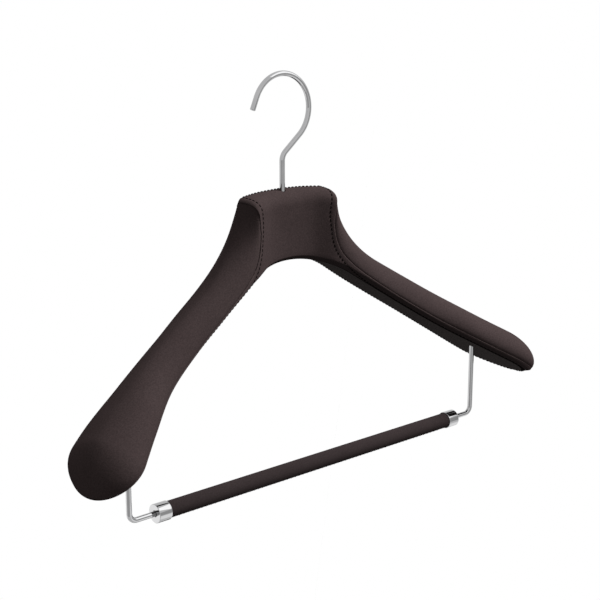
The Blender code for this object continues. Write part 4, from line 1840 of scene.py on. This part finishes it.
    def build(self) -> None:
        """Make every panel and its stitching."""
        front_rows = self.front_stitch_rows()
        back_rows = self.back_stitch_rows()
        crest_row = self.crest_stitch_row()
        front_seams = self.seam_lines(Face.FRONT)
        back_seams = self.seam_lines(Face.BACK)
        front_edges = self.edge_lines(Face.FRONT)
        back_edges = self.edge_lines(Face.BACK)
        wrap = self.wrap_line()
        half = [
            self.patch(Face.FRONT, self.neck_rows, self.band),
            self.patch(Face.FRONT, self.neck_rows, self.crown),
            self.patch(Face.BACK, self.neck_rows, self.wrapped),
            self.patch(Face.FRONT, self.arm_rows, self.band),
            self.tip_patch(self.front_angles, self.band),
        ]
        front = self.panel(
            "front_panel", half + [patch.mirrored() for patch in half],
            front_seams + [wrap], [], front_edges, front_rows + [crest_row])
        bored(front, Vector((0, 0, self.form.neck_top)), self.stem_hole, self.stem_drill)
        half = [
            self.patch(Face.BACK, self.neck_rows, self.band),
            self.patch(Face.BACK, self.neck_rows, self.crown_under_wrap),
            self.patch(Face.BACK, self.arm_rows, self.band),
            self.tip_patch(self.back_angles, self.band),
        ]
        self.panel(
            "back_panel", half + [patch.mirrored() for patch in half],
            back_seams, [wrap], back_edges, back_rows)
        self.build_shoulders(front_seams + back_seams)
        self.build_underside(front_edges[:2] + back_edges[:2])
        self.sew("stitching_front", front_rows)
        self.sew("stitching_crest", [crest_row])
        self.sew("stitching_back", back_rows)

    def build_shoulders(self, seams: Sequence[np.ndarray]) -> None:
        """Make the panel over each arm's crown.

        Args:
            seams: The long seams of both faces.
        """
        half = [
            self.patch(Face.FRONT, self.arm_rows, self.crown),
            self.patch(Face.BACK, self.arm_rows, self.crown),
            self.tip_patch(self.front_angles, self.crown),
            self.tip_patch(self.back_angles, self.crown),
        ]
        for side in Side:
            patches = half if side is Side.RIGHT else [patch.mirrored() for patch in half]
            self.panel(f"shoulder_panel_{side.tag}", patches, [], seams, [], [])

    def build_underside(self, edges: Sequence[np.ndarray]) -> None:
        """Make the strip under both arms and drill it for the bracket wires.

        Args:
            edges: The lower edges of both bands.
        """
        rows = np.concatenate([self.neck_rows, self.arm_rows[1:]])
        half = [
            self.patch(Face.FRONT, rows, self.sole),
            self.patch(Face.BACK, rows, self.sole),
            self.tip_patch(np.concatenate([self.front_angles, self.back_angles[1:]]), self.sole),
        ]
        # The underside's lighter leather is painted light for the bounce from below.
        sole = self.panel(
            "underside_panel", half + [patch.mirrored() for patch in half], [], [], edges, [],
            self.shelf.underside)
        x, y = self.wire_spot
        z = self.form.neck_top + self.form.underside_z(x)
        for side in Side:
            bored(sole, Vector((side.value * x, y, z)), self.wire_hole, self.wire_drill)

    # Stitching

    def front_stitch_rows(self) -> list[StitchRun]:
        """Rows beside the front seams, from the crest down and along the arms to the tips.

        Returns:
            The right half's row and the left half's.
        """
        start = self.front_stitches[0][0]
        top = self.form.section(start * MM).path(Face.FRONT).length / MM
        route = [(start, run) for run in np.linspace(top, self.front_stitches[0][1] + 1, 8)]
        line = smooth_route(route + list(self.front_stitches), 12) * MM
        low = line[-1][1]
        places = list(line) + [(d, low) for d in np.linspace(line[-1][0], self.form.crest_end, 90)[1:]]
        spots = [self.form.spot(Face.FRONT, float(d), float(run)) for d, run in places]
        return self.with_tip(Face.FRONT, spots, low)

    def with_tip(self, face: Face, spots: list[np.ndarray], run: float) -> list[StitchRun]:
        """Carry a row on round the tip and mirror it.

        Args:
            face: Front or back.
            spots: The row's points up to the tip.
            run: The row's run there.

        Returns:
            The right half's row and the left half's.
        """
        angles = self.front_angles if face is Face.FRONT else self.back_angles[::-1]
        line = np.array(spots + [self.form.tip_spot(float(angle), run) for angle in angles[1:]])
        return self.both_sides(line, self.normal_field(face))

    def both_sides(self, line: np.ndarray, field: "NormalField") -> list[StitchRun]:
        """A row on the right half and its mirror image."""
        row = StitchRun(line, np.array([field.at(point) for point in line]))
        return [row, row.mirrored()]

    def normal_field(self, face: Face) -> "NormalField":
        """Normals of a face, looked up by place.

        Args:
            face: Front or back.

        Returns:
            The lookup, made once.
        """
        if face not in self.fields:
            patches = [
                self.patch(face, self.neck_rows, self.band),
                self.patch(face, self.neck_rows, self.crown),
                self.patch(face, self.arm_rows, self.band),
                self.patch(face, self.arm_rows, self.crown),
                self.tip_patch(self.front_angles if face is Face.FRONT else self.back_angles, self.band),
            ]
            self.fields[face] = NormalField(Skin(patches))
        return self.fields[face]

    def back_stitch_rows(self) -> list[StitchRun]:
        """Rows beside the back seams, and one along the whole lower edge.

        Returns:
            Two seam rows, then the lower edge's two.
        """
        corner = self.form.corner_end / MM - self.back_gap[0]
        top = self.form.section(corner * MM).path(Face.BACK).length / MM - self.back_gap[1]
        route = [(corner, run) for run in np.linspace(top, self.back_stitches[0][1], 6)]
        route += [(corner + past, run) for past, run in self.back_stitches[1:]]
        line = smooth_route(route, 12) * MM
        spots = np.array([self.form.spot(Face.BACK, float(d), float(run)) for d, run in line])
        low = self.edge_row
        ways = np.linspace(0, self.form.crest_end, 200)
        edge = [self.form.spot(Face.BACK, float(d), low) for d in ways]
        rows = self.with_tip(Face.BACK, edge, low)
        for row in rows:
            row.crown = self.edge_crown
            row.thread = self.edge_thread
            row.length = self.edge_length
            row.normal = row.normal + np.array([0, 0, -1.0])
        return self.both_sides(spots, self.normal_field(Face.BACK)) + rows

    def crest_stitch_row(self) -> StitchRun:
        """Row along the back edge of the neck's top.

        Returns:
            The row.
        """
        rows = np.linspace(0, self.front_stitches[0][0] * MM, 60)
        right = []
        for distance in rows:
            top = self.form.section(float(distance)).path(Face.FRONT).length
            right.append(self.form.spot(Face.FRONT, float(distance), top - self.crest_gap))
        right = np.array(right)
        line = np.concatenate([(right * MIRROR)[:0:-1], right])
        front, back = self.normal_field(Face.FRONT), self.normal_field(Face.BACK)
        normal = np.array([front.at(point) + back.at(point) for point in line])
        normal /= np.linalg.norm(normal, axis=1, keepdims=True)
        return StitchRun(line, normal, thread=self.crest_thread, crown=self.crest_crown)

    def sew(self, name: str, rows: Sequence[StitchRun]) -> None:
        """Make the stitches of some rows as one piece."""
        points, faces = joined(rows)
        add_piece(name, points, faces, self.shelf.thread, Part.HANGER)


class NormalField:
    """Normals of a skin, looked up by the nearest point."""

    def __init__(self, skin: Skin) -> None:
        """Args:
            skin: The skin.
        """
        self.skin = skin
        self.tree = KDTree(len(skin.points))
        for i, point in enumerate(skin.points):
            self.tree.insert(point, i)
        self.tree.balance()

    def at(self, point: np.ndarray) -> np.ndarray:
        """Normal near a point."""
        return self.skin.normals[self.tree.find(point)[1]]


# Chrome hook and brackets


def arc(centre: Vector, radius: float, start: float, end: float,
        step: float = radians(2.5)) -> list[Vector]:
    """Points along an arc in the XZ plane, both ends included.

    Args:
        centre: The arc's centre.
        radius: Its radius.
        start: Angle of its first point.
        end: Angle of its last point.
        step: Largest turn from point to point.

    Returns:
        The points.
    """
    count = max(3, round(abs(end - start) / step))
    turns = [mix(start, end, i / count) for i in range(count + 1)]
    return [centre + Vector((radius * cos(t), 0, radius * sin(t))) for t in turns]


def wire_with_soft_ends(points: Sequence[Vector], radius: float, softness: float,
                        sides: int) -> Shape:
    """Round wire along a flat line, with the edges of both ends rounded off.

    Args:
        points: The centre line in a plane square to Y.
        radius: The wire's radius.
        softness: Radius of the rounding at its ends.
        sides: Faces round the wire.

    Returns:
        The points and the faces.
    """
    line = np.array([tuple(point) for point in points])
    turn = np.linspace(0, pi / 2, 6)
    first = line[1] - line[0]
    last = line[-1] - line[-2]
    first /= np.linalg.norm(first)
    last /= np.linalg.norm(last)
    start = [line[0] + first * softness * (1 - cos(t)) for t in turn]
    end = [line[-1] - last * softness * (1 - cos(t)) for t in turn[::-1]]
    radii = [radius - softness * (1 - sin(t)) for t in turn]
    whole = np.array(start + list(line[1:-1]) + end)
    width = np.array(radii + [radius] * (len(line) - 2) + radii[::-1])
    return swept(whole, width, Vector((0, 1, 0)), sides)


@dataclass
class SwivelHook:
    """Chrome hook that turns in the neck, with the parts that hold it."""

    shelf: FinishShelf
    neck_top: float = -84.7 * MM
    wire: float = 4.2 * MM
    radius: float = 26.4 * MM
    rise: float = 60.4 * MM
    start: float = radians(157)
    end: float = radians(-50)
    lip: float = 10 * MM
    stem_bend: float = 9 * MM
    end_round: float = 0.7 * MM
    crease: float = radians(50)
    sides: int = 40

    def line(self) -> list[Vector]:
        """Centre line from the stem's lower end to the lip.

        Returns:
            The line's points.
        """
        centre = Vector((0, 0, self.neck_top + self.rise))
        slant_start = centre + Vector((self.radius * cos(self.end), 0, self.radius * sin(self.end)))
        slant = Vector((sin(self.end), 0, -cos(self.end)))
        meet = slant_start.z + slant.z * slant_start.x / -slant.x
        turn = pi / 2 + self.end
        bend = Vector((self.stem_bend, 0, meet - self.stem_bend * tan((pi / 2 - turn) / 2)))
        lip_start = centre + Vector((self.radius * cos(self.start), 0, self.radius * sin(self.start)))
        lip = lip_start + Vector((-sin(self.start), 0, cos(self.start))) * self.lip
        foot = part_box("hook")[0].z
        points = [Vector((0, 0, foot))]
        points += arc(bend, self.stem_bend, pi, pi / 2 + turn)
        points += arc(centre, self.radius, self.end, self.start)
        return points + [lip]

    def build(self) -> None:
        """Make the hook and dress the parts under it."""
        points, faces = wire_with_soft_ends(self.line(), self.wire / 2, self.end_round, self.sides)
        hook = add_piece("hook_wire", points, faces, self.shelf.chrome, Part.HOOK, ["hook"])
        hook.data.set_sharp_from_angle(angle=self.crease)
        dress("hook_nut", self.shelf.steel)
        dress("hook_washer", self.shelf.steel)
        dress("hook_bush", self.shelf.brass)


@dataclass
class BarBrackets:
    """Bent chrome wires that carry the trouser bar, and their sleeves in the core."""

    shelf: FinishShelf
    wire: float = 4 * MM
    spacing: float = 347 * MM
    bend: float = 6 * MM
    bar_y: float = -41.3 * MM
    bar_z: float = -290.8 * MM
    end_round: float = 0.5 * MM
    bend_step: float = radians(5)
    sides: int = 40

    def build(self) -> None:
        """Make both wires and dress their sleeves."""
        for side in Side:
            name = f"bracket_wire_{side.tag}"
            low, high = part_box(name)
            x = side.value * (self.spacing / 2 - self.bend)
            corner = Vector((x, self.bar_y, self.bar_z + self.bend))
            turn = (0, -pi / 2) if side is Side.RIGHT else (pi, 3 * pi / 2)
            inner = low.x if side is Side.RIGHT else high.x
            line = [Vector((side.value * self.spacing / 2, self.bar_y, high.z))]
            line += arc(corner, self.bend, *turn, step=self.bend_step)
            line.append(Vector((inner, self.bar_y, self.bar_z)))
            points, faces = wire_with_soft_ends(line, self.wire / 2, self.end_round, self.sides)
            add_piece(
                f"{name}_chrome", points, faces, self.shelf.chrome, Part.HANGER, [name])
            dress(f"bracket_insert_{side.tag}", self.shelf.brass)


@dataclass
class TrouserBar:
    """Leather covered bar with a chrome ferrule on each end."""

    shelf: FinishShelf
    centre: PointPair = (-41.3 * MM, -290.8 * MM)
    length: float = 305 * MM
    diameter: float = 12.2 * MM
    cover: float = 1.1 * MM
    ferrule_length: float = 10.6 * MM
    ferrule_diameter: float = 13.8 * MM
    ferrule_wall: float = 0.5 * MM
    ferrule_end: float = 1 * MM
    rim_round: float = 0.45 * MM
    crease: float = radians(60)
    hole: float = 2.3 * MM
    seam_angle: float = radians(249)
    seam_depth: float = 0.35 * MM
    seam_reach: float = 0.45 * MM
    seam_gather: float = 0.25
    gather_power: float = 0.7
    stitch_turn: float = radians(13)
    stitch_slant: float = 4 * MM
    stitch_pitch: float = 4 * MM
    stitch_margin: float = 14 * MM
    stitch_part: float = 0.999
    stitch_thread: float = 0.24 * MM
    stitch_crown: float = 0.05 * MM
    stitch_sink: float = 0.35 * MM
    sides: int = 72

    def build(self) -> None:
        """Make the sleeve and the ferrules and dress what is inside them."""
        self.build_sleeve()
        for side in Side:
            self.build_ferrule(side)
            dress(f"bar_bushing_{side.tag}", self.shelf.nylon)
        dress("bar_tube", self.shelf.aluminium)

    def build_sleeve(self) -> None:
        """Leather sleeve with its edges butted and sewn along its lower side."""
        low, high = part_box("bar_cover")
        rows = np.linspace(low.x, high.x, 61)
        turn = np.linspace(0, 2 * pi, self.sides, endpoint=False) + self.seam_angle
        past = turn - self.seam_angle
        past = np.where(past > pi, past - 2 * pi, past)
        spread = (np.abs(past) / pi) ** self.gather_power
        turn = self.seam_angle + past * mix(self.seam_gather, 1, spread)
        away = np.abs(((turn - self.seam_angle + pi) % (2 * pi)) - pi) * self.diameter / 2
        groove = self.seam_depth * np.exp(-(away / self.seam_reach) ** 2)
        outer = self.diameter / 2 - groove
        inner = np.full(self.sides, self.diameter / 2 - self.cover)
        points = []
        for radii in (outer, inner):
            for x in rows:
                points += [about_x(self.centre, x, r, t) for r, t in zip(radii, turn)]
        faces, count, block = [], self.sides, self.sides * len(rows)
        for quad in hoop_faces(len(rows), count):
            faces.append(quad)
            faces.append([block + corner for corner in reversed(quad)])
        last = (len(rows) - 1) * count
        for j in range(count):
            k = (j + 1) % count
            faces.append([k, j, block + j, block + k])
            faces.append([last + j, last + k, block + last + k, block + last + j])
        add_piece(
            "bar_sleeve", np.array(points), faces, self.shelf.sleeve, Part.BAR,
            ["bar_cover"])
        self.sew_sleeve(low.x, high.x)

    def sew_sleeve(self, start: float, end: float) -> None:
        """Short stitches across the sleeve's seam.

        Args:
            start: Place along X of the sleeve's left end.
            end: Place along X of its right end.
        """
        seam, reach = self.seam_angle, self.stitch_turn
        turns = np.linspace(seam - reach, seam + reach, 9)
        normal = np.array([(0, cos(t), sin(t)) for t in turns])
        rows = []
        for x in np.arange(start + self.stitch_margin, end - self.stitch_margin, self.stitch_pitch):
            line = np.array([
                about_x(self.centre, x + (t - seam) * self.stitch_slant, self.diameter / 2, t)
                for t in turns])
            length = float(np.linalg.norm(np.diff(line, axis=0), axis=1).sum())
            rows.append(StitchRun(
                line, normal, start=0.0, pitch=1.0, length=length * self.stitch_part,
                thread=self.stitch_thread, crown=self.stitch_crown, sink=self.stitch_sink))
        points, faces = joined(rows)
        add_piece("bar_stitching", points, faces, self.shelf.thread, Part.BAR)

    def build_ferrule(self, side: Side) -> None:
        """Hollow cap with rounded rims and a bored end face.

        Args:
            side: Left or right.
        """
        end = self.length / 2
        outer = self.ferrule_diameter / 2
        inner = outer - self.ferrule_wall
        mouth = end - self.ferrule_length
        corners = [
            (end, self.hole), (end - self.ferrule_end, self.hole), (end - self.ferrule_end, inner),
            (mouth, inner), (mouth, outer), (end, outer),
        ]
        profile = rounded(corners, self.rim_round, 5)
        points, faces = lathed(profile, self.centre, self.sides, side.value)
        piece = add_piece(
            f"ferrule_{side.tag}_cap", points, faces, self.shelf.chrome, Part.BAR,
            [f"ferrule_{side.tag}"])
        piece.data.set_sharp_from_angle(angle=self.crease)


@dataclass
class WoodenCore:
    """Two beech halves inside the leather, joined with dowels."""

    shelf: FinishShelf

    def build(self) -> None:
        """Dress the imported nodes."""
        for name in ("core_left", "core_right", "core_dowel_upper", "core_dowel_lower"):
            dress(name, self.shelf.beech)


# Studio


@dataclass(frozen=True)
class SoftBox:
    """One soft lamp.

    Args:
        name: Its name.
        right: How far right of the camera's line it stands.
        up: How far up.
        near: How far towards the camera.
        size: Width of its square face.
        power: Its power in watts.
    """

    name: str
    right: float
    up: float
    near: float
    size: float
    power: float


@dataclass(frozen=True)
class Card:
    """Card beside the view that only the metal mirrors.

    Args:
        name: Its name.
        right: How far right of the camera's line it stands.
        up: How far up.
        near: How far towards the camera.
        width: Its width.
        height: Its height.
        glow: How bright it is, where 1 is white.
    """

    name: str
    right: float
    up: float
    near: float
    width: float
    height: float
    glow: float


@dataclass
class Studio:
    """Camera, lamps, floor and white surroundings."""

    azimuth: float = radians(41)
    elevation: float = radians(14.5)
    aim: tuple[float, float, float] = (0, -0.03, -0.17)
    target: tuple[float, float, float] = (0, 0, -87.2 * MM)
    target_right: float = -17.7 / 1325
    target_up: float = 107.1 / 1325
    distance: float = 1.0
    lens: float = 79.5
    sensor: float = 36.0
    floor_z: float = -0.65
    floor_size: float = 80.0
    shadow_reach: float = 0.5
    lamps: tuple[SoftBox, ...] = (
        SoftBox("key", 1.15, 1.2, 0.3, 0.8, 30.0),
        SoftBox("fill", -1.1, 0.7, 0.7, 0.9, 2.0),
        SoftBox("back", -0.5, 1.0, -1.15, 0.9, 10.0),
    )
    ambient: float = 0.12
    cards: tuple[Card, ...] = (
        Card("white_card_right", 0.88, 0.75, 0.15, 0.9, 0.9, 2.15),
        Card("grey_card_right", 0.95, -0.16, 0.2, 0.9, 0.6, 0.55),
        Card("white_card_below", 0.27, -0.4, -0.08, 0.7, 0.3, 1.45),
        Card("dark_card_below", -0.1, -0.3, -0.3, 0.35, 0.3, 0.1),
        Card("white_card_left", -0.56, -0.31, -0.09, 0.35, 0.35, 1.65),
        Card("grey_card_front", -0.2, -0.42, 0.55, 1.2, 0.75, 0.62),
    )

    def __post_init__(self) -> None:
        """Work out the camera's own directions."""
        a, e = self.azimuth, self.elevation
        self.right = Vector((cos(a), -sin(a), 0))
        self.up = Vector((sin(a) * sin(e), cos(a) * sin(e), cos(e)))
        self.ahead = Vector((sin(a) * cos(e), cos(a) * cos(e), -sin(e)))

    def build(self) -> None:
        """Set up the whole studio."""
        self.build_camera()
        for lamp in self.lamps:
            self.build_lamp(lamp)
        for card in self.cards:
            self.build_card(card)
        self.build_floor()
        self.build_world()
        bpy.context.scene.view_settings.view_transform = "Standard"

    def build_camera(self) -> None:
        """Camera at the photograph's angle and distance."""
        data = bpy.data.cameras.new("camera")
        data.lens = self.lens
        data.sensor_width = self.sensor
        camera = placed("camera", data)
        offset = self.right * self.target_right + self.up * self.target_up + self.ahead
        camera.location = Vector(self.target) - offset * self.distance
        camera.rotation_euler = (pi / 2 - self.elevation, 0, -self.azimuth)
        bpy.context.scene.camera = camera

    def aimed(self, thing: bpy.types.Object, right: float, up: float, near: float) -> None:
        """Stand a thing beside the camera's line, facing the hanger.

        Args:
            thing: The lamp or card.
            right: How far right of the camera's line.
            up: How far up.
            near: How far towards the camera.
        """
        way = self.right * right + self.up * up - self.ahead * near
        thing.location = Vector(self.aim) + way
        thing.rotation_euler = way.to_track_quat("Z", "Y").to_euler()

    def build_lamp(self, lamp: SoftBox) -> None:
        """Hang one soft lamp.

        Args:
            lamp: The lamp.
        """
        data = bpy.data.lights.new(lamp.name, "AREA")
        data.shape = "SQUARE"
        data.size = lamp.size
        data.energy = lamp.power
        light = placed(lamp.name, data)
        light.visible_glossy = False
        self.aimed(light, lamp.right, lamp.up, lamp.near)

    def build_card(self, card: Card) -> None:
        """Stand a card outside the view, for the metal to mirror.

        Args:
            card: The card.
        """
        mesh = rectangle(card.name, card.width, card.height)
        sheet = NodeSheet(card.name)
        sheet.set(
            Base_Color=(0, 0, 0, 1), Roughness=1.0, Specular_IOR_Level=0.0,
            Emission_Color=(1, 1, 1, 1), Emission_Strength=card.glow)
        sheet.material.cycles.emission_sampling = "NONE"
        mesh.materials.append(sheet.material)
        board = placed(card.name, mesh)
        self.aimed(board, card.right, card.up, card.near)
        board.visible_camera = False
        board.visible_diffuse = False
        board.visible_shadow = False

    def build_floor(self) -> None:
        """Pale floor far under the hanger, white to the camera except for the shadow."""
        mesh = rectangle("floor", self.floor_size, self.floor_size, self.floor_z)
        material = bpy.data.materials.new("pale_floor")
        material.use_nodes = True
        material.cycles.emission_sampling = "NONE"
        tree = material.node_tree
        tree.nodes.clear()
        output = tree.nodes.new("ShaderNodeOutputMaterial")
        matt = tree.nodes.new("ShaderNodeBsdfDiffuse")
        matt.inputs["Color"].default_value = (0.3, 0.3, 0.3, 1)
        glow = tree.nodes.new("ShaderNodeEmission")
        shadow = tree.nodes.new("ShaderNodeAmbientOcclusion")
        shadow.inputs["Color"].default_value = (1, 1, 1, 1)
        shadow.inputs["Distance"].default_value = self.shadow_reach
        tree.links.new(shadow.outputs["Color"], glow.inputs["Color"])
        self.choose(tree, matt, glow, output)
        mesh.materials.append(material)
        placed("floor", mesh)

    def choose(self, tree: bpy.types.NodeTree, light: bpy.types.Node, view: bpy.types.Node,
               output: bpy.types.Node) -> None:
        """Show one shader to the eye and light the hanger with another.

        Args:
            tree: Nodes of the floor or the world.
            light: Shader for the rays that light things.
            view: Shader for the rays that are seen.
            output: The nodes' output.
        """
        chosen = tree.nodes.new("ShaderNodeMixShader")
        tree.links.new(self.seen_directly(tree), chosen.inputs[0])
        tree.links.new(light.outputs[0], chosen.inputs[1])
        tree.links.new(view.outputs[0], chosen.inputs[2])
        tree.links.new(chosen.outputs[0], output.inputs["Surface"])

    def seen_directly(self, tree: bpy.types.NodeTree) -> bpy.types.NodeSocket:
        """1 for rays from the camera, off a mirror or through glass, else 0.

        Args:
            tree: Nodes of the floor or the world.

        Returns:
            The value's socket.
        """
        path = tree.nodes.new("ShaderNodeLightPath")
        total = path.outputs["Is Camera Ray"]
        for name in ("Is Glossy Ray", "Is Transmission Ray"):
            larger = tree.nodes.new("ShaderNodeMath")
            larger.operation = "MAXIMUM"
            tree.links.new(total, larger.inputs[0])
            tree.links.new(path.outputs[name], larger.inputs[1])
            total = larger.outputs[0]
        return total

    def build_world(self) -> None:
        """White surroundings for the eye, dimmer for the light they give."""
        world = bpy.data.worlds.new("studio_world")
        world.use_nodes = True
        tree = world.node_tree
        tree.nodes.clear()
        output = tree.nodes.new("ShaderNodeOutputWorld")
        dim = tree.nodes.new("ShaderNodeBackground")
        dim.inputs["Strength"].default_value = self.ambient
        white = tree.nodes.new("ShaderNodeBackground")
        for background in (dim, white):
            background.inputs["Color"].default_value = (1, 1, 1, 1)
        self.choose(tree, dim, white, output)
        bpy.context.scene.world = world


def main() -> None:
    """Build the hanger and its studio, and log each piece."""
    logging.basicConfig(level=logging.INFO, format="%(name)s %(message)s")
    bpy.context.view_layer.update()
    shelf = FinishShelf()
    LeatherBody(ShoulderForm(), shelf).build()
    WoodenCore(shelf).build()
    SwivelHook(shelf).build()
    BarBrackets(shelf).build()
    TrouserBar(shelf).build()
    Studio().build()


if __name__ == "__main__":
    main()
